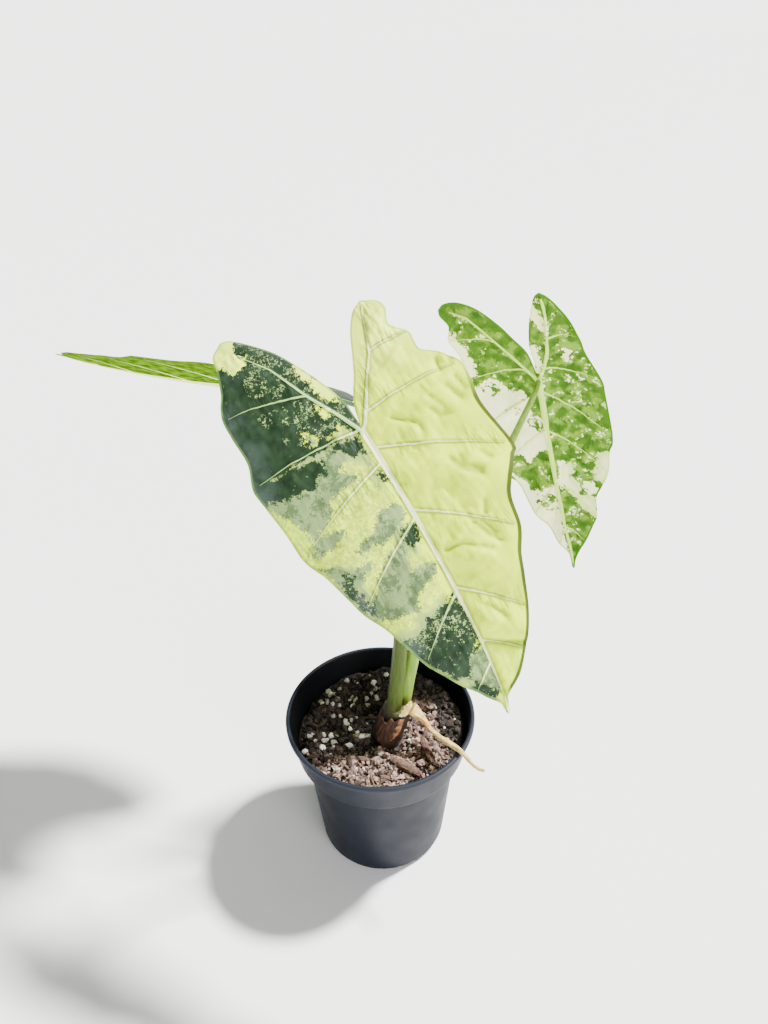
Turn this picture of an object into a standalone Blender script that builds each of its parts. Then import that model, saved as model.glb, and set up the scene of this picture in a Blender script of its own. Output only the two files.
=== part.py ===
"""Potted variegated alocasia with three leaves, in a nursery pot.

The pot stands on z = 0 with its axis on the Z axis. Sizes at the top are in millimetres, and
mesh coordinates in metres. A leaf blade is laid out flat first, as if pressed: u runs along the
midrib from the sinus, where the stalk joins, towards the drip tip, and v runs across it.
"""
import math

import bmesh
import bpy
import numpy as np
from mathutils import Vector, noise

MM = 0.001
GAP = 0.3

# Nursery pot: a tapered body with a wider collar and a rolled lip
POT_HEIGHT = 93.0
RIM_RADIUS = 52.5
LIP_HEIGHT = 3.0
COLLAR_TOP_RADIUS = 51.2
COLLAR_BOTTOM_RADIUS = 47.25
COLLAR_HEIGHT = 22.8
BODY_TOP_RADIUS = 42.9
BASE_RADIUS = 36.8
BASE_ROUNDING = 3.8
WALL = 1.2
FLOOR = 1.6
DRAIN_RADIUS = 4.0
DRAIN_CIRCLE = 25.0
DRAIN_COUNT = 8
POT_SIDES = 56

# Potting mix: its surface tilts up to the right and the back, with loose grains of perlite and
# bark in it
SOIL_LEVEL = 79.0
SOIL_TILT_X = 0.075
SOIL_TILT_Y = 0.03
SOIL_BUMP = 1.3
SOIL_RINGS = 9
GRAINS = 48
GRAIN_SIZE = (1.5, 2.6)
GRAIN_SEED = 5
BARK_CHIPS = (
    # x, y, length, width, thickness, turn in degrees
    (13.5, -30.5, 20.0, 5.0, 4.0, -35.0),
    (25.0, -24.0, 11.0, 6.0, 4.0, -50.0),
    (-30.0, -9.5, 12.0, 4.0, 3.0, 30.0),
    (-12.0, -20.0, 8.0, 5.0, 3.5, 70.0),
    (30.0, 14.0, 10.0, 5.0, 3.5, 15.0),
)

# Stem base: height, centre x, centre y, half widths in x and y
STEM_RINGS = (
    (68.0, 4.0, -5.0, 5.5, 5.5),
    (73.0, 4.0, -5.5, 7.4, 7.4),
    (79.0, 4.2, -5.6, 8.2, 8.2),
    (86.0, 4.8, -5.2, 8.8, 9.0),
    (94.0, 7.8, -4.8, 8.6, 9.0),
    (99.0, 9.4, -4.4, 7.9, 8.7),
    (101.5, 9.8, -4.3, 7.0, 7.9),
)
STEM_SIDES = 24
STEM_CLEARANCE = 13.5
STEM_UNEVEN = 1.035

# Papery old sheath wrapped round the front of the stem base
SHEATH_THICKNESS = 0.6
SHEATH_FROM = -170.0
SHEATH_TO = -70.0
SHEATH_FOOT_ANGLE = -110.0
SHEATH_TOP = 101.6
SHEATH_FOOT = 80.6
SHEATH_RISE = 9.2
SHEATH_RAGGED = (1.4, 0.9)
SHEATH_SLOPE = 4.6
SHEATH_CURL = 0.9

# Leaf stalks: points from foot to blade, and radii at foot and top. Each one ends square to the
# underside of its blade, which adds the last two points.
PETIOLES = {
    "front": {
        "route": ((6.9, -8.0, 92.4), (8.0, -6.6, 104.0), (10.4, -4.0, 125.0), (12.0, -2.0, 145.0),
                  (13.0, 1.6, 175.0), (11.0, 5.0, 208.0), (5.5, 5.0, 237.0)),
        "radii": (4.0, 1.7),
    },
    "right": {
        "route": ((12.9, -2.2, 92.4), (14.2, -1.4, 104.0), (17.9, 0.2, 125.0), (22.2, 3.0, 145.0),
                  (40.0, 18.0, 180.0), (57.0, 32.0, 213.0), (71.0, 43.7, 240.0)),
        "radii": (2.8, 1.3),
    },
    "left": {
        "route": ((6.5, 0.9, 92.4), (7.2, 2.4, 104.0), (9.4, 5.0, 125.0), (10.6, 7.6, 145.0),
                  (6.5, 14.0, 176.0), (-9.0, 25.0, 203.0), (-33.0, 40.0, 225.0)),
        "radii": (2.7, 1.3),
    },
}
PETIOLE_SIDES = 12
PETIOLE_STEPS = 22
PETIOLE_RUN_OUT = 9.0

# Dried old stalk, from its flat base round the stem, across the soil and over the rim: x, y, z,
# radius. The base is widest in the middle of its arc.
CLASP_FROM = -86.0
CLASP_TO = -10.0
CLASP_THICKNESS = 1.2
CLASP_MIDDLE = 106.7
CLASP_HALF_HEIGHT = (1.0, 5.4)
DRIED_STALK = (
    (17.3, -8.7, 102.7, 2.9),
    (19.5, -9.5, 101.3, 2.1),
    (22.3, -11.4, 99.5, 1.5),
    (24.8, -13.7, 97.5, 1.4),
    (27.6, -17.2, 95.6, 1.2),
    (32.2, -21.7, 94.7, 1.4),
    (37.4, -26.8, 95.2, 1.5),
    (41.7, -31.4, 95.6, 1.2),
    (46.5, -38.2, 94.6, 1.0),
    (50.0, -42.8, 95.2, 0.9),
    (52.6, -44.6, 96.0, 0.8),
)
STALK_SIDES = 10

# Blades
BLADE_THICKNESS = 0.8
RIB_HEIGHT = 1.3
RIB_WIDTH = 2.2
QUILT = 1.7
EDGE_WAVE = 1.3
VEIN_BOW = 2.0
TIP_TURN = 12
COSTA_ROWS = 11
MIDRIB_ROWS = 20
ACROSS = (0.0, 0.05, 0.14, 0.32, 0.54, 0.78, 1.0)
ACROSS_LOBE = (0.0, 0.25, 0.62, 1.0)

# One half of a blade. costa: the lobe's main vein from the sinus. outer and inner: where the edge
# lies (u, v) for the place s on the main vein, negative along the costa and positive along the
# midrib. veins: the places s where side veins leave it.
FRONT_LEFT = {
    "costa": ((0, 0), (-10.5, -5.3), (-25.8, -13.9), (-45.4, -22.7), (-59, -32.4)),
    "outer": ((-67.5, -71.5, -37.5), (-60, -67, -42.9), (-52, -56.5, -44), (-42, -46.2, -46.4),
              (-35, -41, -49.4), (-29.3, -35, -51), (-20, -25, -50.2), (-10, -11.1, -48.8),
              (-1.5, 0, -51.8), (5, 11, -49.8), (10, 23.2, -47.5), (15.3, 36.2, -46.1),
              (25, 47, -40.8), (33, 57.1, -37.5), (41.8, 67, -34.6), (52, 76, -29.4),
              (62, 85, -26), (75.9, 96.5, -22.3), (88, 104, -17.3), (101, 113, -12),
              (113, 119.5, -7.4), (122, 124.5, -3.2), (127, 128, -2.6), (132, 132, -2.4)),
    "inner": ((-67.5, -71.5, -37.5), (-61, -70, -33.2), (-52, -62, -25.5), (-42, -52, -17.5),
              (-32, -40.6, -11.3), (-22, -28, -5.3), (-12, -16, -1), (-5, -8, 0), (0, -4, 0.4)),
    "veins": (-67.5, -29.3, -1.5, 15.3, 41.8, 75.9, 108, 132),
}
FRONT_RIGHT = {
    "costa": ((0, 0), (-2.9, 2.7), (-14.5, 9.3), (-30.4, 18.5), (-44.2, 22.8), (-51.9, 25)),
    "outer": ((-58, -55, 26), (-52, -51, 31.5), (-46, -44.6, 33.5), (-40, -37.5, 31.4),
              (-35.7, -30.6, 36.9), (-28, -24, 36.9), (-20, -19, 37.4), (-14, -14.5, 44),
              (-8.5, -7.1, 49.4), (-3, 3, 49.2), (3, 14, 48), (8.3, 34, 51.4), (14, 38.5, 49.2),
              (24, 47, 43), (31, 53, 39.9), (38.3, 64.5, 38), (50, 74.5, 32.5), (62, 83, 29.5),
              (73.8, 94.5, 25.5), (86, 103, 20.5), (98.2, 109.5, 16.6), (110, 117, 10),
              (120, 123.3, 1.6), (127, 128, -0.3), (132, 132, -1.6)),
    "inner": ((-58, -55, 26), (-50, -51.5, 20.5), (-42, -43.4, 15.5), (-33, -33, 11.4),
              (-24, -25, 8.2), (-15, -17, 4), (-8, -11, 1.6), (-3, -6, 0.8), (0, -4, 0.4)),
    "veins": (-58, -35.7, -8.5, 8.3, 38.3, 73.8, 98.2, 132),
}
BACK_RIGHT = {
    "costa": ((0, 0), (-10, 6.9), (-25, 17.2), (-41, 27.6), (-46, 34.8)),
    "outer": ((-58, -48, 39.8), (-52, -44, 39.9), (-44, -37, 38.2), (-30, -30, 39.8),
              (-22, -22, 38.6), (-15, -13, 37.2), (-8.5, -3, 39.4), (0, 12, 39), (8, 32, 40.6),
              (20, 42, 36.6), (32, 58, 33.4), (44, 67, 26.6), (58, 78, 22.4), (68, 89, 18.4),
              (80, 97, 12.8), (95, 107, 7.6), (108, 114.5, 2.9), (117, 119.5, 1.2), (124, 124, 0.4)),
    "inner": ((-58, -48, 39.8), (-54, -50.4, 36.5), (-46, -49.5, 29.5), (-38, -44, 21.5),
              (-30, -34, 13.4), (-20, -25, 7.8), (-12, -17, 2.8), (-5, -9, 1.2), (0, -3, 0.5)),
    "veins": (-58, -30, -8.5, 8, 32, 68, 98, 124),
}
BACK_LEFT = {
    "costa": ((0, 0), (-8, -4.4), (-16, -7.1), (-26, -9.3), (-37, -10.5), (-46, -10.3)),
    "outer": ((-48, -49, -10.2), (-44, -46, -13.6), (-38, -37.5, -17.8), (-31, -29, -22),
              (-24, -21, -24.2), (-16, -12, -25), (-8.3, 3, -30.6), (0, 14, -30.8),
              (7, 38.5, -31.4), (18, 49, -28.2), (32, 61, -26.4), (45, 72, -21), (56, 79, -17.4),
              (67, 89, -17), (80, 97, -13.6), (95, 106, -9), (108, 113.5, -4.2), (117, 119, -1.4),
              (124, 124, -0.4)),
    "inner": ((-48, -49, -10.2), (-44, -47, -7.4), (-36, -38, -3.6), (-28, -28, -0.8),
              (-20, -20, 0.4), (-12, -12.5, 0.1), (-5, -7, 0.2), (0, -3, 0.5)),
    "veins": (-48, -26, -8.3, 7, 32, 67, 96, 124),
}

# Each leaf: the sinus in space, the way its midrib leaves it, the way its upper face looks, how
# it bends along and across, how far its tip turns aside, and the two halves. size and lobe_size
# scale the flat shape.
LEAVES = {
    "front": {
        "sinus": (-3.2, -15.7, 273.6), "along": (0.433, -0.682, -0.589),
        "faces": (-0.139, -0.696, 0.704), "bend": 0.0037, "lobe_bend": 0.0030,
        "fold": 8.0, "droop": 0.0044, "midrib_bow": 2.8, "tip_shift": 2.0, "length": 132.0,
        "size": 1.0, "lobe_size": 1.0, "halves": (FRONT_LEFT, FRONT_RIGHT),
    },
    "right": {
        "sinus": (84.4, 60.4, 262.8), "along": (0.322, 0.177, -0.930),
        "faces": (0.337, 0.897, 0.287), "bend": 0.0030, "lobe_bend": 0.0010,
        "fold": 10.0, "droop": 0.0100, "midrib_bow": 3.0, "tip_shift": 0.0, "length": 124.0,
        "size": 1.0, "lobe_size": 1.0, "halves": (BACK_LEFT, BACK_RIGHT),
    },
    "left": {
        "sinus": (-59.8, 65.0, 260.0), "along": (-0.926, 0.372, -0.068),
        "faces": (0.113, 0.445, 0.888), "bend": -0.0012, "lobe_bend": 0.0090,
        "fold": 10.3, "droop": 0.0018, "midrib_bow": 0.0, "tip_shift": 2.0, "length": 132.0,
        "size": 1.012, "lobe_size": 0.70, "halves": (FRONT_LEFT, FRONT_RIGHT),
    },
}


def clear_scene():
    for obj in list(bpy.data.objects):
        bpy.data.objects.remove(obj)


def material(name, colour, roughness):
    mat = bpy.data.materials.new(name)
    mat.use_nodes = True
    shader = mat.node_tree.nodes["Principled BSDF"]
    shader.inputs["Base Color"].default_value = (*colour, 1.0)
    shader.inputs["Roughness"].default_value = roughness
    shader.inputs["Metallic"].default_value = 0.0
    mat.diffuse_color = (*colour, 1.0)
    return mat


def solid(name, points, faces, mat=None, turn_out=True):
    """One object from points in millimetres, with its faces turned outwards unless they are."""
    mesh = bpy.data.meshes.new(name)
    mesh.from_pydata((np.asarray(points, float) * MM).tolist(), [], [list(f) for f in faces])
    if turn_out:
        bm = bmesh.new()
        bm.from_mesh(mesh)
        bmesh.ops.recalc_face_normals(bm, faces=bm.faces)
        bm.to_mesh(mesh)
        bm.free()
    obj = bpy.data.objects.new(name, mesh)
    bpy.context.scene.collection.objects.link(obj)
    if mat:
        mesh.materials.append(mat)
    mesh.shade_smooth()
    mesh.set_sharp_from_angle(angle=math.radians(40))
    return obj


def loft(rings):
    """Points and faces of a body through a list of rings of equal length, closed at both ends."""
    count = len(rings[0])
    faces = []
    for i in range(len(rings) - 1):
        for j in range(count):
            k = (j + 1) % count
            faces.append((i * count + j, i * count + k, (i + 1) * count + k, (i + 1) * count + j))
    faces.append(tuple(range(count)))
    faces.append(tuple((len(rings) - 1) * count + j for j in range(count)))
    return np.concatenate(rings), faces


def circle(radius, z, sides):
    """A level ring round the Z axis."""
    turn = np.arange(sides) * 2 * math.pi / sides
    return np.stack([radius * np.cos(turn), radius * np.sin(turn), np.full(sides, z)], 1)


def boolean(target, operation, cutter=None, collection=None):
    """Join to target, or cut from it, one solid or a collection of them, which are then removed."""
    mod = target.modifiers.new(operation.lower(), "BOOLEAN")
    mod.operation = operation
    mod.solver = "EXACT"
    if collection:
        mod.operand_type = "COLLECTION"
        mod.collection = collection
    else:
        mod.object = cutter
    bpy.context.view_layer.objects.active = target
    with bpy.context.temp_override(object=target, active_object=target):
        bpy.ops.object.modifier_apply(modifier=mod.name)
    for obj in list(collection.objects) if collection else [cutter]:
        bpy.data.objects.remove(obj)
    if collection:
        bpy.data.collections.remove(collection)


def into_collection(name, objects):
    group = bpy.data.collections.new(name)
    bpy.context.scene.collection.children.link(group)
    for obj in objects:
        bpy.context.scene.collection.objects.unlink(obj)
        group.objects.link(obj)
    return group


# Pot
COLLAR_BOTTOM = POT_HEIGHT - COLLAR_HEIGHT
LIP_BOTTOM = POT_HEIGHT - LIP_HEIGHT


def pot_profile():
    """(radius, z) from the middle of the inner floor, up the inside and down the outside."""
    rounding = [
        (BASE_RADIUS - BASE_ROUNDING * (1 - math.sin(a)), BASE_ROUNDING * (1 - math.cos(a)))
        for a in np.radians((90.0, 60.0, 30.0, 0.0))
    ]
    inner_rounding = [(r - WALL, z + FLOOR) for r, z in reversed(rounding)]
    return [
        (30.0, FLOOR),
        *inner_rounding,
        (BODY_TOP_RADIUS - WALL, COLLAR_BOTTOM),
        (BODY_TOP_RADIUS - WALL + 0.6, COLLAR_BOTTOM + WALL),
        (COLLAR_BOTTOM_RADIUS - WALL - 0.4, COLLAR_BOTTOM + WALL + 0.2),
        (COLLAR_BOTTOM_RADIUS - WALL + 0.1, COLLAR_BOTTOM + WALL + 1.0),
        (COLLAR_TOP_RADIUS - WALL, POT_HEIGHT - 0.6),
        (COLLAR_TOP_RADIUS - WALL + 0.5, POT_HEIGHT),
        (RIM_RADIUS - 0.8, POT_HEIGHT),
        (RIM_RADIUS, POT_HEIGHT - 0.8),
        (RIM_RADIUS, LIP_BOTTOM + 0.5),
        (RIM_RADIUS - 0.5, LIP_BOTTOM),
        (COLLAR_TOP_RADIUS - 0.1, LIP_BOTTOM - 0.2),
        (COLLAR_BOTTOM_RADIUS + 0.1, COLLAR_BOTTOM + 0.7),
        (COLLAR_BOTTOM_RADIUS - 0.5, COLLAR_BOTTOM),
        (BODY_TOP_RADIUS, COLLAR_BOTTOM - 0.5),
        *rounding,
    ]


def collar_inner_radius(z):
    low, high = COLLAR_BOTTOM + WALL + 1.0, POT_HEIGHT - 0.6
    at = (z - low) / (high - low)
    start, end = COLLAR_BOTTOM_RADIUS - WALL + 0.1, COLLAR_TOP_RADIUS - WALL
    return start + (end - start) * at


def make_pot(mat):
    pot = solid("pot", *loft([circle(r, z, POT_SIDES) for r, z in pot_profile()]), mat)
    drains = []
    for i in range(DRAIN_COUNT):
        turn = 2 * math.pi * (i + 0.5) / DRAIN_COUNT
        centre = np.array([DRAIN_CIRCLE * math.cos(turn), DRAIN_CIRCLE * math.sin(turn), 0.0])
        rings = [circle(DRAIN_RADIUS, z, 12) + centre for z in (-5.0, FLOOR + 5.0)]
        drains.append(solid(f"drain_{i}", *loft(rings)))
    boolean(pot, "DIFFERENCE", collection=into_collection("drains", drains))
    return pot


# Potting mix
def soil_height(x, y):
    lumps = noise.noise(Vector((x * 0.11, y * 0.11, 3.0))) + 0.5 * noise.noise(
        Vector((x * 0.27, y * 0.27, 7.0))
    )
    return SOIL_LEVEL + SOIL_TILT_X * x + SOIL_TILT_Y * y + SOIL_BUMP * lumps


def lump(name, centre, half, turn, rng):
    """An uneven icosahedron, its half sizes along its own three ways, turned about Z."""
    bm = bmesh.new()
    bmesh.ops.create_icosphere(bm, subdivisions=1, radius=1.0)
    cos, sin = math.cos(turn), math.sin(turn)
    points = []
    for v in bm.verts:
        x, y, z = np.array(v.co) * half * rng.uniform(0.82, 1.12)
        points.append((centre[0] + x * cos - y * sin, centre[1] + x * sin + y * cos, centre[2] + z))
    faces = [[v.index for v in f.verts] for f in bm.faces]
    bm.free()
    return solid(name, points, faces)


def make_soil(mat):
    base_inner = BASE_RADIUS - WALL
    rings = [
        circle(base_inner - BASE_ROUNDING - GAP, FLOOR + GAP, POT_SIDES),
        circle(base_inner - 1.2 - GAP, FLOOR + 1.6 + GAP, POT_SIDES),
        circle(base_inner - GAP, FLOOR + BASE_ROUNDING + GAP, POT_SIDES),
        circle(BODY_TOP_RADIUS - WALL - GAP, COLLAR_BOTTOM + 1.0, POT_SIDES),
        circle(BODY_TOP_RADIUS - WALL - GAP, COLLAR_BOTTOM + WALL + 0.9, POT_SIDES),
        circle(COLLAR_BOTTOM_RADIUS - WALL - 1.2, COLLAR_BOTTOM + WALL + 1.4, POT_SIDES),
    ]
    edge = circle(1.0, 0.0, POT_SIDES)
    for i in range(SOIL_RINGS):
        share = 1.0 - i / SOIL_RINGS
        ring = edge.copy()
        for p in ring:
            rim = collar_inner_radius(soil_height(p[0] * 47.0, p[1] * 47.0)) - GAP - 0.15
            p[:2] *= rim * share
            p[2] = soil_height(p[0], p[1])
        rings.append(ring)
    soil = solid("potting_mix", *loft(rings), mat)

    rng = np.random.default_rng(GRAIN_SEED)
    grains = []
    for i in range(GRAINS):
        radius = 42.5 * math.sqrt(rng.uniform(0.02, 1.0))
        turn = rng.uniform(0, 2 * math.pi)
        x, y = radius * math.cos(turn), radius * math.sin(turn)
        size = rng.uniform(*GRAIN_SIZE)
        half = size * np.array([1.0, rng.uniform(0.7, 1.0), rng.uniform(0.7, 0.95)])
        sunk = soil_height(x, y) + half[2] * rng.uniform(-0.25, 0.25)
        near_stem = math.hypot(x - STEM_RINGS[2][1], y - STEM_RINGS[2][2]) < STEM_CLEARANCE
        tilt = rng.uniform(0, math.pi)
        if not near_stem:
            grains.append(lump(f"grain_{i}", (x, y, sunk), half, tilt, rng))
    for i, (x, y, length, width, thick, turn) in enumerate(BARK_CHIPS):
        half = np.array([length, width, thick]) / 2
        centre = (x, y, soil_height(x, y) + 0.2 * thick)
        grains.append(lump(f"bark_{i}", centre, half, math.radians(turn), rng))
    boolean(soil, "UNION", collection=into_collection("grains", grains))
    return soil


# Stem base and leaf stalks
def stem_ring(z, cx, cy, rx, ry, grow=0.0):
    turn = np.arange(STEM_SIDES) * 2 * math.pi / STEM_SIDES
    uneven = 1 + 0.02 * np.cos(3 * turn + z * 0.3) + 0.012 * np.cos(7 * turn + z * 0.8)
    x = cx + (rx + grow) * np.cos(turn) * uneven
    y = cy + (ry + grow) * np.sin(turn) * uneven
    return np.stack([x, y, np.full(STEM_SIDES, z)], 1)


def curve_through(points, count):
    """Evenly spread points on a smooth curve through the given ones (Catmull-Rom by length)."""
    points = np.asarray(points, float)
    length = np.concatenate([[0], np.cumsum(np.linalg.norm(np.diff(points[:, :3], axis=0), axis=1))])
    return smooth(length, points, np.linspace(0, length[-1], count))


def smooth(known, values, at):
    """Cubic pieces through values at the places known; the slope at each place is that of the
    line from the one before it to the one after it."""
    known, values, at = np.asarray(known, float), np.asarray(values, float), np.asarray(at, float)
    step = np.diff(known)
    rise = np.diff(values, axis=0) / step[:, None]
    inner = (values[2:] - values[:-2]) / (known[2:] - known[:-2])[:, None]
    slope = np.concatenate([rise[:1], inner, rise[-1:]])
    i = np.clip(np.searchsorted(known, at, side="right") - 1, 0, len(step) - 1)
    h, f = step[i][:, None], ((at - known[i]) / step[i])[:, None]
    return (
        values[i] * (1 + 2 * f) * (1 - f) ** 2
        + slope[i] * h * f * (1 - f) ** 2
        + values[i + 1] * f * f * (3 - 2 * f)
        - slope[i + 1] * h * f * f * (1 - f)
    )


def tube(centres, radii, sides):
    """Rings round a line of centres, each square to the line, kept from twisting."""
    ways = np.gradient(centres, axis=0)
    ways /= np.linalg.norm(ways, axis=1)[:, None]
    side = np.array([1.0, 0.0, 0.0])
    turn = (np.arange(sides) * 2 * math.pi / sides)[:, None]
    rings = []
    for centre, way, radius in zip(centres, ways, radii):
        side = side - way * side.dot(way)
        side /= np.linalg.norm(side)
        other = np.cross(way, side)
        rings.append(centre + radius * (np.cos(turn) * side + np.sin(turn) * other))
    return rings


def petiole_line(name):
    """Centres and radii of a leaf stalk, ending square to its blade's underside."""
    stalk, leaf = PETIOLES[name], LEAVES[name]
    up = np.array(leaf["faces"]) / np.linalg.norm(leaf["faces"])
    end = np.array(leaf["sinus"]) - up * (BLADE_THICKNESS / 2 + RIB_HEIGHT + GAP)
    route = [*stalk["route"], tuple(end - up * PETIOLE_RUN_OUT), tuple(end)]
    centres = curve_through(route, PETIOLE_STEPS)
    foot, top = stalk["radii"]
    share = np.linspace(0, 1, PETIOLE_STEPS)
    return centres, foot + (top - foot) * share**1.15


def make_petiole(name, mat):
    centres, radii = petiole_line(name)
    rings = tube(centres, radii, PETIOLE_SIDES)
    up = np.array(LEAVES[name]["faces"]) / np.linalg.norm(LEAVES[name]["faces"])
    end = centres[-1]
    rings[-1] = rings[-1] - np.outer((rings[-1] - end) @ up, up)
    return solid(f"petiole_{name}", *loft(rings), mat)


def make_stem_base(mat):
    stem = solid("stem_base", *loft([stem_ring(*ring) for ring in STEM_RINGS]), mat)
    for name in PETIOLES:
        centres, radii = petiole_line(name)
        low = centres[0] - (centres[1] - centres[0]) * 0.04
        centres = np.concatenate([[low], centres[1:5]])
        radii = np.concatenate([[radii[0]], radii[1:5]]) + GAP
        cutter = solid("socket", *loft(tube(centres, radii, PETIOLE_SIDES)))
        boolean(stem, "DIFFERENCE", cutter)
    return stem


def sink_stem(soil):
    """The plain hole in the soil that the stem base stands in."""
    rings = [stem_ring(*ring, grow=GAP) for ring in STEM_RINGS[:5]]
    rings[0][:, 2] -= GAP
    boolean(soil, "DIFFERENCE", solid("stem_hole", *loft(rings)))


def stem_surface(angle, z, grow):
    """A point on the stem base at an angle and height, moved out by grow."""
    table = np.array(STEM_RINGS)
    cx, cy, rx, ry = (np.interp(z, table[:, 0], table[:, i]) for i in (1, 2, 3, 4))
    x = cx + (rx * STEM_UNEVEN + grow) * np.cos(angle)
    y = cy + (ry * STEM_UNEVEN + grow) * np.sin(angle)
    return np.stack([x, y, z], -1)


def wrap(name, angle, z, thickness, curl, mat=None):
    """A curved strip a little off the stem base, over rows of heights, leaning out by curl."""
    turn = np.broadcast_to(angle, z.shape)
    way = np.stack([np.cos(turn), np.sin(turn), np.zeros_like(turn)], -1)
    lean = way * np.broadcast_to(curl, z.shape)[..., None]
    inner = stem_surface(turn, z, GAP) + lean
    outer = stem_surface(turn, z, GAP + thickness) + lean
    skin = grid_triangles(*z.shape)
    points, faces = thicken(outer.reshape(-1, 3), inner.reshape(-1, 3), skin)
    return solid(name, points, faces, mat)


def make_sheath(mat):
    """The old sheath, ragged on top and drawn to a foot in front."""
    angle = np.radians(np.linspace(SHEATH_FROM, SHEATH_TO, 17))
    foot, end = math.radians(SHEATH_FOOT_ANGLE), math.radians(SHEATH_TO)
    low = SHEATH_FOOT + SHEATH_RISE * np.abs(angle - foot) / (end - foot)
    coarse, fine = SHEATH_RAGGED
    ragged = coarse * np.sin(angle * 9) + fine * np.sin(angle * 17 + 1)
    high = SHEATH_TOP + ragged - SHEATH_SLOPE * (end - angle) / (end - math.radians(SHEATH_FROM))
    share = np.linspace(0, 1, 5)[:, None]
    curl = SHEATH_CURL * np.clip((share - 0.7) / 0.3, 0, 1)
    return wrap("papery_sheath", angle, low + (high - low) * share, SHEATH_THICKNESS, curl, mat)


def make_dried_stalk(mat):
    """The stalk, joined to the flat base that clasps the stem."""
    line = curve_through(DRIED_STALK, 20)
    stalk = solid("dried_stalk", *loft(tube(line[:, :3], line[:, 3], STALK_SIDES)), mat)
    angle = np.radians(np.linspace(CLASP_FROM, CLASP_TO, 13))
    least, most = CLASP_HALF_HEIGHT
    half = least + (most - least) * np.sin(np.linspace(0, math.pi, 13))
    z = CLASP_MIDDLE + half * np.linspace(-1, 1, 5)[:, None]
    boolean(stalk, "UNION", wrap("clasp", angle, z, CLASP_THICKNESS, 0.0))
    return stalk


# Leaf blades
def grid_triangles(rows, columns):
    """Triangles of a grid of rows by columns, each cell split the same way."""
    at = np.arange(rows * columns).reshape(rows, columns)
    a, b, c, d = at[:-1, :-1], at[:-1, 1:], at[1:, 1:], at[1:, :-1]
    return np.concatenate([np.stack([a, b, c], -1), np.stack([a, c, d], -1)]).reshape(-1, 3)


def thicken(upper, under, skin):
    """A closed body from two faces with the same triangles, joined round their open edge."""
    edges = np.concatenate([skin[:, [0, 1]], skin[:, [1, 2]], skin[:, [2, 0]]])
    present = {tuple(e) for e in edges}
    shift = len(upper)
    faces = [tuple(t) for t in skin] + [tuple(t[::-1] + shift) for t in skin]
    for a, b in edges:
        if (b, a) not in present:
            faces += [(b, a, a + shift), (b, a + shift, b + shift)]
    return np.concatenate([upper, under]), faces


def main_vein(leaf, half, s):
    """Flat place (u, v) on the main vein at s: the costa below zero, the midrib above."""
    costa = np.array(half["costa"], float)
    run = np.concatenate([[0], np.cumsum(np.linalg.norm(np.diff(costa, axis=0), axis=1))])
    back = np.clip(-s, 0, None)
    u = np.where(s < 0, np.interp(back, run, costa[:, 0]), s)
    v = np.where(s < 0, np.interp(back, run, costa[:, 1]), midrib(leaf, s))
    return np.stack([u, v], 1)


def midrib(leaf, u):
    """How far the midrib stands to the side of a straight line: bowed, then turned at its tip."""
    share = np.clip(np.asarray(u) / leaf["length"], 0, 1)
    return leaf["midrib_bow"] * np.sin(math.pi * share) - leaf["tip_shift"] * share**TIP_TURN


def flat_sheet(leaf, half, edge, s, across, bow):
    """Flat grid from the main vein to an edge: foot + (edge - foot) * t, with the rows bowed."""
    table = np.array(half[edge], float)
    foot = main_vein(leaf, half, s)[:, None, :]
    rim = smooth(table[:, 0], table[:, 1:], s)[:, None, :]
    t = np.asarray(across)[None, :, None]
    flat = foot + (rim - foot) * t
    span = np.linalg.norm(rim - foot, axis=-1)
    flat[..., 0] -= bow * np.sin(math.pi * t[..., 0]) * np.clip(span / 40.0, 0, 1)
    return flat, span * t[..., 0]


def relief(half, s, across):
    """Height of the puffed panels and waved edge: low on each side vein, high between two."""
    veins = np.array(half["veins"], float)
    phase = np.interp(s, veins, np.arange(len(veins)))
    panel = np.clip(np.diff(veins)[np.clip(phase.astype(int), 0, len(veins) - 2)] / 24.0, 0.3, 1.0)
    t = np.asarray(across)[None, :]
    between = (np.sin(math.pi * phase) ** 2 * panel)[:, None]
    puff = QUILT * between * np.sin(math.pi * t) ** 0.8
    wave = EDGE_WAVE * (between * 2 - panel[:, None]) * t**3
    return puff + wave


def place(leaf, u, v, lift):
    """Flat blade to space: folded up along the midrib, drooping outwards, bent along it."""
    along = np.array(leaf["along"]) / np.linalg.norm(leaf["along"])
    up = np.array(leaf["faces"], float)
    up -= up.dot(along) * along
    up /= np.linalg.norm(up)
    across = np.cross(up, along)
    size = leaf["size"]
    u = np.where(u < 0, u * leaf["lobe_size"], u) * size
    v = v * size
    rate = np.where(u > 0, leaf["bend"], leaf["lobe_bend"])
    out = np.abs(v - midrib(leaf, u / size) * size)
    height = math.tan(math.radians(leaf["fold"])) * out - 0.5 * leaf["droop"] * out**2 + lift
    turn = rate * u
    forward = np.sin(turn) / rate + height * np.sin(turn)
    rise = -(1 - np.cos(turn)) / rate + height * np.cos(turn)
    return (
        np.array(leaf["sinus"])
        + forward[..., None] * along
        + v[..., None] * across
        + rise[..., None] * up
    )


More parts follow.
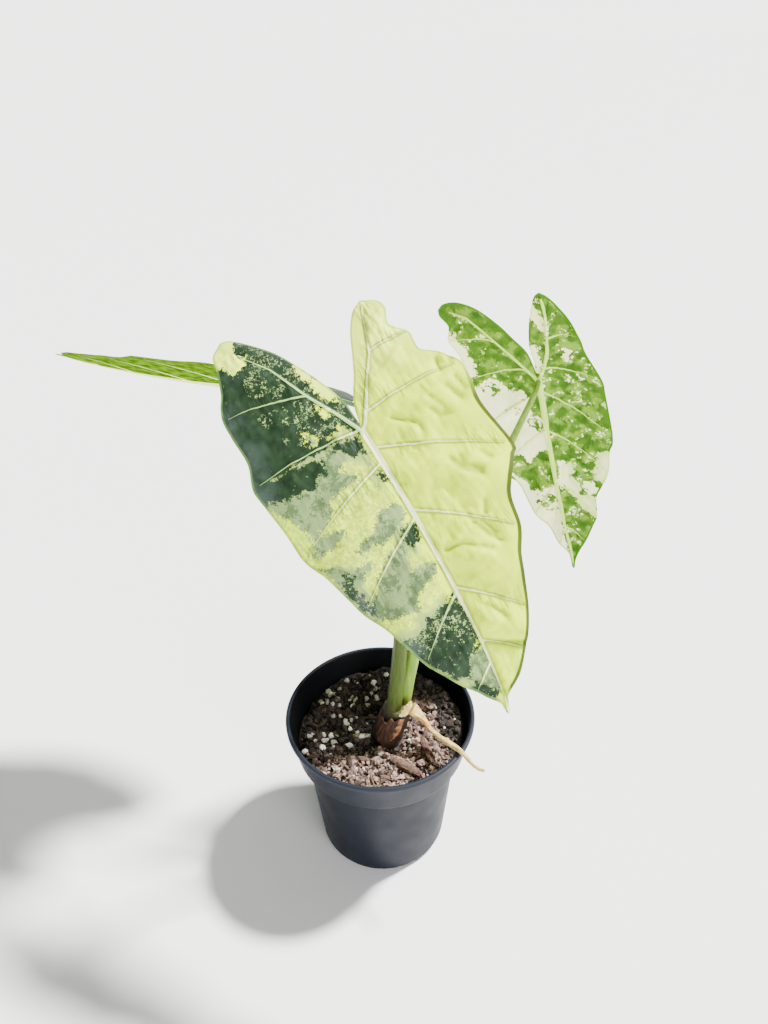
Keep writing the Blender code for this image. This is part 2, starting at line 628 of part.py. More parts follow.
def blade_surface(leaf):
    """Middle surface of a blade as welded points and triangles, with the rib's depth under it."""
    points, depths, skins, count = [], [], [], 0
    for number, half in enumerate(leaf["halves"]):
        lobe = np.linspace(half["outer"][0][0], 0, COSTA_ROWS)
        rows = np.concatenate([lobe, np.linspace(0, leaf["length"], MIDRIB_ROWS)[1:]])
        for edge, s, across, bow in (
            ("outer", rows, ACROSS, VEIN_BOW),
            ("inner", lobe, ACROSS_LOBE, 0.0),
        ):
            flat, off = flat_sheet(leaf, half, edge, s, across, bow)
            quiet = 1.0 if edge == "outer" else 0.0
            lift = quiet * relief(half, s, across)
            place_s = np.abs(s)[:, None] / leaf["length"]
            depth = RIB_HEIGHT * np.clip(1 - place_s, 0.1, 1) * np.exp(-((off / RIB_WIDTH) ** 2))
            skin = grid_triangles(len(s), len(across))
            if (edge == "outer") == (number == 1):
                skin = skin[:, ::-1]
            skins.append(skin + count)
            points.append(place(leaf, flat[..., 0], flat[..., 1], lift).reshape(-1, 3))
            depths.append(depth.ravel())
            count += len(points[-1])
    points, depths, skin = np.concatenate(points), np.concatenate(depths), np.concatenate(skins)
    _, first, same = np.unique(np.round(points, 3), axis=0, return_index=True, return_inverse=True)
    return points[first], depths[first], same.ravel()[skin]


def make_blade(name, mat):
    mid, depth, skin = blade_surface(LEAVES[name])
    a, b, c = (mid[skin[:, i]] for i in range(3))
    facing = np.cross(b - a, c - a)
    normals = np.zeros_like(mid)
    for i in range(3):
        np.add.at(normals, skin[:, i], facing)
    normals /= np.linalg.norm(normals, axis=1)[:, None]
    if (normals @ np.array(LEAVES[name]["faces"])).mean() < 0:
        normals, skin = -normals, skin[:, ::-1]
    upper = mid + normals * BLADE_THICKNESS / 2
    under = mid - normals * (BLADE_THICKNESS / 2 + depth)[:, None]
    points, faces = thicken(upper, under, skin)
    return solid(f"blade_{name}", points, faces, mat, turn_out=False)


def build():
    clear_scene()
    plastic = material("pot_plastic", (0.045, 0.055, 0.07), 0.45)
    mix = material("potting_mix", (0.09, 0.055, 0.04), 0.95)
    bark = material("stem_skin", (0.16, 0.075, 0.035), 0.85)
    paper = material("papery_skin", (0.35, 0.17, 0.07), 0.8)
    straw = material("dried_stalk", (0.72, 0.5, 0.3), 0.8)
    stalk = material("petiole_skin", (0.22, 0.3, 0.08), 0.45)
    leaf = {
        "front": material("front_blade", (0.5, 0.6, 0.28), 0.6),
        "right": material("right_blade", (0.25, 0.42, 0.12), 0.55),
        "left": material("left_blade", (0.3, 0.45, 0.1), 0.55),
    }
    make_pot(plastic)
    soil = make_soil(mix)
    sink_stem(soil)
    make_stem_base(bark)
    make_sheath(paper)
    make_dried_stalk(straw)
    for name in LEAVES:
        make_petiole(name, stalk)
        make_blade(name, leaf[name])


build()
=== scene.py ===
"""Potted variegated alocasia: the finished surfaces of its pot, soil, stalks and leaves.

Sizes are in millimetres, as on the real plant; a mesh is turned to metres as it is made.
"""
import math

import bmesh
import bpy
import numpy as np
from mathutils import Matrix, Vector


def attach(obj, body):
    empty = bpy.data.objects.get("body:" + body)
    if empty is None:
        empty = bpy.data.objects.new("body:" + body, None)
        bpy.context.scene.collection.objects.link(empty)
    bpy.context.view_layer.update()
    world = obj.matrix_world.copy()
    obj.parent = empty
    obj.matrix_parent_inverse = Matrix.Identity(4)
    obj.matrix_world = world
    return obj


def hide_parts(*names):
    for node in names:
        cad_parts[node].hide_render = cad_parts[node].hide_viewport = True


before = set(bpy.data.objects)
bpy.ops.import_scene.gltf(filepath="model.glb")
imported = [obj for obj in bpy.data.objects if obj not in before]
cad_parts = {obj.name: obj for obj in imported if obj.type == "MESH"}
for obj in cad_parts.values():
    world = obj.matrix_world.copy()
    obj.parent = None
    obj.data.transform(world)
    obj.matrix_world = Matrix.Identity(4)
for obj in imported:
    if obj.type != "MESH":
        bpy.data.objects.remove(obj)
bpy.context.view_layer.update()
MM = 0.001

# View
# The plant is seen from in front and well above the rim, as by someone standing at a low table.
# The eye's place and tilt are those at which the pot's rim and foot take the shape they have.
EYE = (4.7, -303.5, 417.5)
LOOK_DOWN = math.radians(32.5)
HEAD_TILT = math.radians(-1.3)
LENS = 27.18
SENSOR = 36.0

level = np.array([1.0, 0.0, 0.0])
upward = np.array([0.0, math.sin(LOOK_DOWN), math.cos(LOOK_DOWN)])
ahead = np.array([0.0, math.cos(LOOK_DOWN), -math.sin(LOOK_DOWN)])
eye_right = math.cos(HEAD_TILT) * level + math.sin(HEAD_TILT) * upward
eye_up = math.cos(HEAD_TILT) * upward - math.sin(HEAD_TILT) * level
camera = bpy.data.objects.new("camera", bpy.data.cameras.new("camera"))
camera.data.lens = LENS
camera.data.sensor_width = SENSOR
camera.data.clip_start = 0.01
camera.matrix_world = Matrix(
    [[eye_right[i], eye_up[i], -ahead[i], EYE[i] * MM] for i in range(3)] + [[0, 0, 0, 1]]
)
bpy.context.scene.collection.objects.link(camera)
bpy.context.scene.camera = camera


# Floor and light
# A wide white sheet that rises gently far behind the plant, so that no horizon shows. A strong
# lamp stands high on the right and a little behind, a broad soft one low in front on the right,
# and a dim even white room round them fills the shade.
LAMPS = {
    # where it stands, how strong, how wide it looks in degrees, and its colour
    "key": ((0.498, 0.222, 0.839), 13.5, 6.0, (1.0, 0.985, 0.96)),
    "fill": ((0.51, -0.85, 0.13), 5.6, 50.0, (1.0, 1.0, 1.0)),
}
ROOM = 0.33
FLOOR_REACH = 60.0
FLOOR_FLAT_BEHIND = 20.0
FLOOR_RISE = 5.0
FLOOR_DROP = 0.0002


def tone(red, green, blue):
    """A colour as seen on a screen, 0 to 255, as the light value that the shader takes."""
    return tuple((part / 255) ** 2.2 for part in (red, green, blue)) + (1.0,)


def new_finish(name, **constants):
    """A material, its node tree and its shader, with the constant values of its sockets set."""
    made = bpy.data.materials.new(name)
    made.use_nodes = True
    shader = made.node_tree.nodes["Principled BSDF"]
    for key, value in constants.items():
        shader.inputs[key.replace("_", " ")].default_value = value
    return made, made.node_tree, shader


floor_finish, tree, shader = new_finish("floor_white", Roughness=0.9, Base_Color=tone(250, 250, 250))
floor_rows = ((-FLOOR_REACH, 0.0), (FLOOR_FLAT_BEHIND, 0.0), (FLOOR_REACH, FLOOR_RISE))
floor_corners = [(x, y, z - FLOOR_DROP) for y, z in floor_rows for x in (-FLOOR_REACH, FLOOR_REACH)]
floor_mesh = bpy.data.meshes.new("floor")
floor_mesh.from_pydata(floor_corners, [], [(0, 1, 3, 2), (2, 3, 5, 4)])
floor_mesh.materials.append(floor_finish)
floor = bpy.data.objects.new("floor", floor_mesh)
bpy.context.scene.collection.objects.link(floor)

for name, (stands, strength, wide, colour) in LAMPS.items():
    lamp = bpy.data.objects.new(name, bpy.data.lights.new(name, "SUN"))
    lamp.data.energy = strength
    lamp.data.angle = math.radians(wide)
    lamp.data.color = colour
    lamp.rotation_mode = "QUATERNION"
    lamp.rotation_quaternion = Vector(stands).to_track_quat("Z", "Y")
    bpy.context.scene.collection.objects.link(lamp)

room = bpy.data.worlds.new("room")
room.use_nodes = True
room.node_tree.nodes["Background"].inputs["Color"].default_value = (1.0, 1.0, 1.0, 1.0)
room.node_tree.nodes["Background"].inputs["Strength"].default_value = ROOM
bpy.context.scene.world = room


# Pot
# A nursery pot moulded from thin blue-grey plastic: a tapered body with a round foot, a wider
# collar that stiffens the mouth, and a lip rolled outwards, with drain holes in the floor.
POT_HEIGHT = 93.0
RIM_RADIUS = 52.5
COLLAR_TOP_RADIUS = 51.2
COLLAR_BOTTOM_RADIUS = 47.25
COLLAR_BOTTOM = 70.2
LIP_BOTTOM = 90.0
BODY_TOP_RADIUS = 42.9
BASE_RADIUS = 36.8
FOOT_ROUNDING = 3.8
POT_WALL = 1.2
POT_FLOOR = 1.6
DRAIN_RADIUS = 4.0
DRAIN_CIRCLE = 25.0
DRAIN_COUNT = 8
POT_SIDES = 192
SHARP = math.radians(40)
# Heights between which the wall turns to the lip's painted highlight, and to the inside's painted
# shade, and the radius at which the collar's inside begins, at its bottom and at the lip
LIP_HIGHLIGHT = (89.5, 91.5)
INSIDE_SHADE = (70.0, 70.5)
WALL_MIDDLE = (46.6, 50.6)


def node(tree, kind, inputs=(), **settings):
    """A shader node with its settings, and its inputs given as values or as other sockets."""
    made = tree.nodes.new("ShaderNode" + kind)
    for key, value in settings.items():
        setattr(made, key, value)
    for key, value in dict(inputs).items():
        if isinstance(value, bpy.types.NodeSocket):
            tree.links.new(value, made.inputs[key])
        else:
            made.inputs[key].default_value = value
    return made


def metres(*sizes):
    """Sizes in millimetres as the metres of a place on the piece."""
    return [size * MM for size in sizes]


def own_place(tree):
    """The place on the piece itself, in metres."""
    return node(tree, "TexCoord").outputs["Object"]


def part_of(tree, vector, axis):
    """The X, Y or Z of a vector."""
    return node(tree, "SeparateXYZ", {"Vector": vector}).outputs[axis]


def cloud(tree, place, scale, detail=3.0):
    """Soft random cloud from 0 to 1, mostly near a half, with scale spots to a unit of place."""
    return node(tree, "TexNoise", {"Vector": place, "Scale": scale, "Detail": detail}).outputs["Fac"]


def span(tree, value, low, high, start=0.0, end=1.0):
    """A value carried in a straight line from the range low..high to start..end, and held there."""
    return node(tree, "MapRange", {0: value, 1: low, 2: high, 3: start, 4: end}).outputs[0]


def clouded(tree, place, scale, detail, low, high, start=0.0, end=1.0):
    """A cloud carried from the range low..high to start..end."""
    return span(tree, cloud(tree, place, scale, detail), low, high, start, end)


def mixed(tree, share, first, second):
    """The first colour where share is 0 and the second where it is 1."""
    return node(tree, "Mix", {0: share, 6: first, 7: second}, data_type="RGBA").outputs[2]


def summed(tree, first, second, operation="ADD"):
    """The two values added, or put together by another operation."""
    return node(tree, "Math", {0: first, 1: second}, operation=operation).outputs[0]


def times(tree, first, *others):
    """The values multiplied."""
    for other in others:
        first = summed(tree, first, other, "MULTIPLY")
    return first


def vector_math(tree, operation, inputs, output=0):
    """What an operation on vectors gives."""
    return node(tree, "VectorMath", inputs, operation=operation).outputs[output]


def painted(tree, shader, colour):
    """Give the shader its colour."""
    tree.links.new(colour, shader.inputs["Base Color"])


def roughened(tree, shader, height, distance, strength=1.0):
    """Raise the surface where height is high, by distance in millimetres."""
    bump = node(tree, "Bump", {"Height": height, "Strength": strength, "Distance": distance * MM})
    tree.links.new(bump.outputs[0], shader.inputs["Normal"])


def shape(name, points, parts, **marks):
    """One smooth piece from points in millimetres, pairs of faces (a row of point numbers each)
    and finish, and marks: values or vectors at the points that the finish reads by name."""
    mesh = bpy.data.meshes.new(name)
    mesh.vertices.add(len(points))
    mesh.vertices.foreach_set("co", (np.asarray(points) * MM).astype(np.float32).ravel())
    corners = np.concatenate([faces.ravel() for faces, _ in parts])
    sizes = np.concatenate([np.full(len(faces), faces.shape[1]) for faces, _ in parts])
    mesh.loops.add(len(corners))
    mesh.loops.foreach_set("vertex_index", corners.astype(np.int32))
    mesh.polygons.add(len(sizes))
    starts = np.concatenate([[0], np.cumsum(sizes)[:-1]])
    mesh.polygons.foreach_set("loop_start", starts.astype(np.int32))
    finishes = []
    for _, finish in parts:
        if finish not in finishes:
            finishes.append(finish)
            mesh.materials.append(finish)
    used = np.concatenate([np.full(len(faces), finishes.index(finish)) for faces, finish in parts])
    mesh.polygons.foreach_set("material_index", used.astype(np.int32))
    for mark, values in marks.items():
        kind, field = ("FLOAT", "value") if values.ndim == 1 else ("FLOAT_VECTOR", "vector")
        layer = mesh.attributes.new(mark, kind, "POINT")
        layer.data.foreach_set(field, values.astype(np.float32).ravel())
    mesh.update(calc_edges=True)
    mesh.shade_smooth()
    mesh.set_sharp_from_angle(angle=SHARP)
    piece = bpy.data.objects.new(name, mesh)
    bpy.context.scene.collection.objects.link(piece)
    return piece


def placed(piece, replaced):
    """Fix the piece to the part, in place of a solid, which is hidden."""
    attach(piece, "root")
    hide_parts(replaced)


def closed_rings(rings):
    """Points, and four- and three-sided faces, of a body through rings of points that turn
    anticlockwise as seen from beyond the last one; each end is a fan to the ring's middle."""
    rows, columns = rings.shape[:2]
    at = np.arange(rows * columns).reshape(rows, columns)
    after = np.roll(at, -1, axis=1)
    sides = np.stack([at[:-1], after[:-1], after[1:], at[1:]], -1).reshape(-1, 4)
    foot, head = rows * columns, rows * columns + 1
    fans = np.concatenate(
        [
            np.stack([np.full(columns, foot), after[0], at[0]], 1),
            np.stack([np.full(columns, head), at[-1], after[-1]], 1),
        ]
    )
    points = np.concatenate([rings.reshape(-1, 3), rings[:1].mean(1), rings[-1:].mean(1)])
    return points, sides, fans


def solid(name, rings, finish):
    """One closed piece through rings of points, all of one finish."""
    points, sides, fans = closed_rings(rings)
    return shape(name, points, [(sides, finish), (fans, finish)])


def turned(profile, sides):
    """Rings of a profile (radius, height) carried round the Z axis: in the direction a, the point
    is (radius cos a, radius sin a, height)."""
    turn = np.arange(sides) * 2 * math.pi / sides
    radius, height = profile[:, :1], profile[:, 1:]
    return np.stack([radius * np.cos(turn), radius * np.sin(turn), height + 0 * turn], -1)


def softened(corners, reach, steps=5):
    """A line of corners with each inner corner replaced by a short quadratic curve, which starts
    and ends at most reach from it: (1-t)^2 before + 2t(1-t) corner + t^2 after."""
    corners = np.asarray(corners, float)
    line = [corners[:1]]
    t = np.linspace(0, 1, steps)[:, None]
    for before, corner, after in zip(corners, corners[1:], corners[2:]):
        cut = [min(reach, 0.45 * np.linalg.norm(end - corner)) for end in (before, after)]
        a = corner + (before - corner) * cut[0] / np.linalg.norm(before - corner)
        b = corner + (after - corner) * cut[1] / np.linalg.norm(after - corner)
        line.append((1 - t) ** 2 * a + 2 * t * (1 - t) * corner + t**2 * b)
    return np.concatenate(line + [corners[-1:]])


def pot_outline():
    """Outside of the pot from the middle of its foot up to the lip, then the inside down again."""
    quarter = np.radians(np.linspace(90, 0, 9))
    foot_radius = BASE_RADIUS - FOOT_ROUNDING * (1 - np.sin(quarter[::-1]))
    foot = np.stack([foot_radius, FOOT_ROUNDING * (1 - np.cos(quarter[::-1]))], 1)
    walls = softened(
        [
            (BODY_TOP_RADIUS - 0.4, COLLAR_BOTTOM - 6.0),
            (BODY_TOP_RADIUS + 0.2, COLLAR_BOTTOM - 1.2),
            (COLLAR_BOTTOM_RADIUS - 0.6, COLLAR_BOTTOM),
            (COLLAR_BOTTOM_RADIUS + 0.5, COLLAR_BOTTOM + 1.8),
            (COLLAR_TOP_RADIUS - 0.1, LIP_BOTTOM - 0.4),
            (RIM_RADIUS - 0.5, LIP_BOTTOM),
            (RIM_RADIUS, LIP_BOTTOM + 0.5),
            (RIM_RADIUS, POT_HEIGHT - 0.7),
            (RIM_RADIUS - 0.5, POT_HEIGHT),
            (COLLAR_TOP_RADIUS - POT_WALL + 0.5, POT_HEIGHT),
            (COLLAR_TOP_RADIUS - POT_WALL, POT_HEIGHT - 0.6),
            (COLLAR_BOTTOM_RADIUS - POT_WALL + 0.1, COLLAR_BOTTOM + POT_WALL + 1.0),
            (COLLAR_BOTTOM_RADIUS - POT_WALL - 0.4, COLLAR_BOTTOM + POT_WALL + 0.2),
            (BODY_TOP_RADIUS - POT_WALL + 0.6, COLLAR_BOTTOM + POT_WALL),
            (BODY_TOP_RADIUS - POT_WALL, COLLAR_BOTTOM),
        ],
        0.9,
    )
    inside = foot[::-1] + (-POT_WALL, POT_FLOOR)
    under = [(15.0, 0.0), (30.0, 0.0)]
    bottom = [(30.0, POT_FLOOR), (15.0, POT_FLOOR)]
    return np.concatenate([under, foot, walls, inside, bottom])


pot_finish, tree, shader = new_finish("pot_plastic", Roughness=0.5, Specular_IOR_Level=0.14)
place = own_place(tree)
colour = mixed(tree, cloud(tree, place, 22.0), tone(16, 21, 30), tone(21, 26, 37))
height = part_of(tree, place, "Z")
# Painted highlight: the lip is painted paler than the wall below it.
colour = mixed(tree, span(tree, height, *metres(*LIP_HIGHLIGHT)), colour, tone(34, 39, 48))
# Painted shade: the collar's inside, from its bottom up to the lip, is painted near black.
level_place = vector_math(tree, "MULTIPLY", {0: place, 1: (1.0, 1.0, 0.0)})
radius = vector_math(tree, "LENGTH", {0: level_place}, "Value")
wall_middle = span(tree, height, *metres(COLLAR_BOTTOM, LIP_BOTTOM, *WALL_MIDDLE))
inside = span(tree, summed(tree, wall_middle, radius, "SUBTRACT"), *metres(0.0, 0.3))
inside = times(tree, inside, span(tree, height, *metres(*INSIDE_SHADE)))
painted(tree, shader, mixed(tree, inside, colour, tone(15, 17, 19)))
gloss = clouded(tree, place, 60.0, 3.0, 0.3, 0.7, 0.44, 0.56)
tree.links.new(gloss, shader.inputs["Roughness"])
roughened(tree, shader, cloud(tree, place, 1500.0, 2.0), 0.06, 0.2)

pot = solid("pot_body", turned(pot_outline(), POT_SIDES), pot_finish)
for turn in 2 * math.pi * (np.arange(DRAIN_COUNT) + 0.5) / DRAIN_COUNT:
    centre = np.array([DRAIN_CIRCLE * math.cos(turn), DRAIN_CIRCLE * math.sin(turn), 0.0])
    drill = turned(np.array([(DRAIN_RADIUS, -5.0), (DRAIN_RADIUS, POT_FLOOR + 5.0)]), 32) + centre
    drill = solid("drill", drill, pot_finish)
    cut = pot.modifiers.new("drain", "BOOLEAN")
    cut.operation = "DIFFERENCE"
    cut.solver = "EXACT"
    cut.object = drill
    evaluated = pot.evaluated_get(bpy.context.evaluated_depsgraph_get())
    drilled = bpy.data.meshes.new_from_object(evaluated)
    pot.modifiers.clear()
    pot.data = drilled
    bpy.data.objects.remove(drill)
pot.data.set_sharp_from_angle(angle=SHARP)
placed(pot, "pot")


# Potting mix
# Loose crumbs of bark and peat fill the pot to below its rim, higher on the right. They are pale
# and dry in front; behind they are damp and darker, with painted shade of the leaves darkening
# them further. White perlite, chips of bark and bits of stick lie among them, and each grain is a
# lump of its own.
SOIL_LEVEL = 79.0
SOIL_TILT = (0.075, 0.03)
SOIL_BUMPS = ((1.3, 17.0, 11), (0.6, 6.0, 12))
SOIL_SIDES = 160
SOIL_REACH = 46.2
GRAIN_GAP = 0.4
# Radius and height of the filling's side, from the pot's floor up to where the crumbs begin
SOIL_SIDE = (
    (30.0, POT_FLOOR + 0.3), (32.5, 2.1), (35.0, 5.7), (40.6, 71.2), (41.2, 72.3), (45.0, 72.8)
)
# How far the filling lies under the crumbs' level
SOIL_SUNK = 0.6
STEM_FOOT = (4.3, -5.5, 8.0)
STEM_CLEAR = 1.5
# How many, and the least and greatest half size
CRUMBS = ((1000, 1.2, 2.4), (3600, 0.5, 1.1))
CHIPS = 80
CHIP_TILT = 0.35
# Perlite is coarser, and more of it is kept, to the left of and behind a corner x, y: the half
# sizes and the kept shares are given for there and then for the rest
PERLITE = 260
PERLITE_CORNER = (4, -12)
PERLITE_HALF = (1.85, 1.15)
PERLITE_KEPT = (0.8, 0.35)
# Line x, y in front of which the mix is dry and lit; behind it, it is damp and in painted shade
DRY_AND_LIT_EDGE = ((-46, -12), (-35, -20), (-24, -17), (-5, -16), (6, -6), (12, 8), (16, 18),
            (30, 18), (31, 8), (33, -6), (37, -20), (42, -30))
DRY_AND_LIT_BLEND = 5.0
# Chips and sticks that can be told apart: ends x, y, then width, thickness, and colour
SINGLE_BITS = (
    ((5.0, -23.0), (21.6, -34.8), 5.4, 4.2, (0.42, 0.33, 0.28)),
    ((22.1, -13.2), (28.3, -29.9), 4.4, 3.4, (0.38, 0.28, 0.24)),
    ((-20.5, -6.4), (-6.5, -4.7), 2.4, 1.8, (0.60, 0.56, 0.42)),
    ((-34.8, -12.2), (-25.6, -6.8), 1.8, 1.5, (0.26, 0.20, 0.15)),
    ((26.4, -37.2), (31.4, -33.4), 3.2, 2.6, (0.38, 0.42, 0.18)),
    ((-43.4, -15.0), (-40.6, -12.8), 3.0, 2.8, (0.78, 0.77, 0.73)),
)


def ripple(x, y, size, seed, waves=14):
    """Uneven height at x, y: the sum of cosine waves in random directions, each about size long,
    over the root of their number."""
    rng = np.random.default_rng(seed)
    turn = rng.uniform(0, 2 * math.pi, waves)
    length = size * rng.uniform(0.6, 1.6, waves)
    start = rng.uniform(0, 2 * math.pi, waves)
    along = np.asarray(x)[..., None] * np.cos(turn) + np.asarray(y)[..., None] * np.sin(turn)
    return np.cos(2 * math.pi * along / length + start).sum(-1) / math.sqrt(waves)


def soil_height(x, y):
    """Level plus a tilt in x and y, plus a ripple for each of the bumps."""
    tilted = SOIL_LEVEL + SOIL_TILT[0] * x + SOIL_TILT[1] * y
    return tilted + sum(high * ripple(x, y, size, seed) for high, size, seed in SOIL_BUMPS)


def dryness(x, y):
    """How dry and lit the mix is at x, y: from 0 behind the edge, where it is damp and in painted
    shade, to 1 in front of it, over the blend.
    """
    edge_x, edge_y = np.array(DRY_AND_LIT_EDGE, float).T
    return np.clip((np.interp(x, edge_x, edge_y) - y) / DRY_AND_LIT_BLEND + 0.5, 0, 1)


def ball(divisions):
    """Corners and triangles of a round ball of radius 1."""
    bm = bmesh.new()
    bmesh.ops.create_icosphere(bm, subdivisions=divisions, radius=1.0)
    corners = np.array([v.co[:] for v in bm.verts])
    faces = np.array([[v.index for v in face.verts] for face in bm.faces])
    bm.free()
    return corners, faces


def random_turns(count, rng):
    """Turns in any direction, as matrices, from random unit quaternions."""
    quaternions = rng.normal(size=(4, count))
    w, x, y, z = quaternions / np.linalg.norm(quaternions, axis=0)
    rows = [
        [1 - 2 * (y * y + z * z), 2 * (x * y - z * w), 2 * (x * z + y * w)],
        [2 * (x * y + z * w), 1 - 2 * (x * x + z * z), 2 * (y * z - x * w)],
        [2 * (x * z - y * w), 2 * (y * z + x * w), 1 - 2 * (x * x + y * y)],
    ]
    return np.array(rows).transpose(2, 0, 1)


def lumps(centres, halves, turns, rng, divisions=1, uneven=0.28):
    """Points and faces of many lumps: a ball's corners, each moved in or out at random by up to
    uneven, stretched by three half sizes, turned, and moved to its centre."""
    corners, faces = ball(divisions)
    loose = corners[None] * (1 + rng.uniform(-uneven, uneven, (len(centres), len(corners), 1)))
    spread = np.einsum("nij,nkj->nki", turns, loose * halves[:, None, :])
    shift = np.arange(len(centres))[:, None, None] * len(corners)
    return (spread + centres[:, None, :]).reshape(-1, 3), (faces[None] + shift).reshape(-1, 3)


def scattered(count, reach, rng):
    """Random places x, y in the pot's mouth, as even over its area, but outside the stem's foot."""
    radius = reach * np.sqrt(rng.uniform(0, 1, count * 2))
    turn = rng.uniform(0, 2 * math.pi, count * 2)
    x, y = radius * np.cos(turn), radius * np.sin(turn)
    clear = np.hypot(x - STEM_FOOT[0], y - STEM_FOOT[1]) > STEM_FOOT[2] + STEM_CLEAR
    return x[clear][:count], y[clear][:count]


def mark_named(tree, name, output="Fac"):
    """What the piece's mesh holds under a name, as a value or a vector."""
    return node(tree, "Attribute", attribute_name=name).outputs[output]


def mix_finish(name, dark, light, grain):
    """Matt finish of lumps: dark to light by each one's own shade times a cloud, and roughened by
    grains of a height in millimetres."""
    made, tree, shader = new_finish(name, Roughness=0.95)
    place = own_place(tree)
    uneven = clouded(tree, place, 900.0, 4.0, 0.3, 0.7, 0.45, 1.55)
    spotted = span(tree, times(tree, mark_named(tree, "shade"), uneven), 0.0, 1.0)
    painted(tree, shader, mixed(tree, spotted, dark, light))
    roughened(tree, shader, cloud(tree, place, 1600.0, 4.0), grain)
    return made


soil_finish = mix_finish("soil_crumb", tone(8, 7, 7), tone(184, 154, 141), 0.35)
lower_rings = turned(np.array(SOIL_SIDE), SOIL_SIDES)
share = np.linspace(1.0, 0.02, 64)[:, None, None]
upper_rings = turned(np.array([(SOIL_REACH, 0.0)]), SOIL_SIDES) * share
upper_rings[..., 2] = soil_height(upper_rings[..., 0], upper_rings[..., 1]) - SOIL_SUNK
points, sides, fans = closed_rings(np.concatenate([lower_rings, upper_rings]))
# Painted shade: behind the dry edge the filling is darker, as damp soil and as painted shade.
body_dry = dryness(points[:, 0], points[:, 1])
body_shade = (0.12 + 0.08 * ripple(points[:, 0], points[:, 1], 3.0, 21)) * (0.3 + 0.7 * body_dry)
soil = shape("soil_body", points, [(sides, soil_finish), (fans, soil_finish)], shade=body_shade)
placed(soil, "potting_mix")

for number, (count, least, most) in enumerate(CRUMBS):
    rng = np.random.default_rng(31 + number)
    half = least * (most / least) ** rng.uniform(0, 1, count)
    x, y = scattered(count, SOIL_REACH - most - GRAIN_GAP, rng)
    halves = half[:, None] * rng.uniform((0.8, 0.6, 0.5), (1.3, 1.0, 0.9), (count, 3))
    centres = np.stack([x, y, soil_height(x, y) + half * rng.uniform(-0.3, 0.45, count)], 1)
    points, faces = lumps(centres, halves, random_turns(count, rng), rng)
    # Painted shade: behind the dry edge the crumbs are darker, as damp soil and as painted shade.
    dry = dryness(x, y)
    shade = rng.uniform(0, 1, count) ** 1.3 * (0.15 + 0.65 * dry) + 0.2 * dry
    shade = np.repeat(shade, len(points) // count)
    crumbs = shape(f"soil_crumbs_{number}", points, [(faces, soil_finish)], shade=shade)
    placed(crumbs, "potting_mix")

perlite_finish = mix_finish("perlite", tone(140, 137, 128), tone(232, 229, 220), 0.25)
rng = np.random.default_rng(41)
x, y = scattered(PERLITE, SOIL_REACH - 3.0, rng)
behind = (x < PERLITE_CORNER[0]) & (y > PERLITE_CORNER[1])
half = np.where(behind, *PERLITE_HALF) * rng.uniform(0.5, 1.15, PERLITE)
halves = half[:, None] * rng.uniform(0.75, 1.1, (PERLITE, 3))
centres = np.stack([x, y, soil_height(x, y) + half * rng.uniform(0.1, 0.9, PERLITE)], 1)
kept = rng.uniform(0, 1, PERLITE) < np.where(behind, *PERLITE_KEPT)
count = int(kept.sum())
points, faces = lumps(centres[kept], halves[kept], random_turns(count, rng), rng)
shade = np.repeat(rng.uniform(0, 1, count), len(points) // count)
perlite = shape("soil_perlite", points, [(faces, perlite_finish)], shade=shade)
placed(perlite, "potting_mix")

chip_finish = mix_finish("bark_chip", tone(22, 17, 14), tone(108, 84, 72), 0.4)
rng = np.random.default_rng(51)
x, y = scattered(CHIPS, SOIL_REACH - 6.0, rng)
halves = rng.uniform((2.0, 0.7, 0.5), (4.6, 1.7, 1.1), (CHIPS, 3))
turn = rng.uniform(0, math.pi, CHIPS)
tilt = rng.uniform(-CHIP_TILT, CHIP_TILT, CHIPS)
cos, sin, run, rise = np.cos(turn), np.sin(turn), np.cos(tilt), np.sin(tilt)
turns = np.array(
    [[cos * run, -sin, -cos * rise], [sin * run, cos, -sin * rise], [rise, 0 * run, run]]
).transpose(2, 0, 1)
centres = np.stack([x, y, soil_height(x, y) + halves[:, 2] * 0.8 + 0.4], 1)
points, faces = lumps(centres, halves, turns, rng, 2, 0.17)
# Painted shade: behind the dry edge the chips are darker, as damp soil and as painted shade.
shade = rng.uniform(0, 1, CHIPS) * (0.35 + 0.65 * dryness(x, y))
shade = np.repeat(shade, len(points) // CHIPS)
chips = shape("soil_chips", points, [(faces, chip_finish)], shade=shade)
placed(chips, "potting_mix")

for number, (start, end, width, thick, colour) in enumerate(SINGLE_BITS):
    bit_finish, tree, shader = new_finish(f"bit_{number}", Roughness=0.9)
    place = own_place(tree)
    light = np.array(colour) ** 2.2
    grain = clouded(tree, place, 520.0, 5.0, 0.35, 0.6)
    painted(tree, shader, mixed(tree, grain, (*light * 0.45, 1.0), (*light, 1.0)))
    roughened(tree, shader, cloud(tree, place, 900.0, 4.0), 0.5)
    start, end = np.array(start), np.array(end)
    long = np.linalg.norm(end - start)
    way = (end - start) / long
    middle = (start + end) / 2
    turns = np.array([[[way[0], -way[1], 0.0], [way[1], way[0], 0.0], [0.0, 0.0, 1.0]]])
    centres = np.array([[*middle, soil_height(*middle) + 0.55 * thick + 0.6]])
    halves = np.array([[long, width, thick]]) / 2
    points, faces = lumps(centres, halves, turns, np.random.default_rng(61 + number), 4, 0.09)
    bit = shape(f"soil_bit_{number}", points, [(faces, bit_finish)])
    placed(bit, "potting_mix")


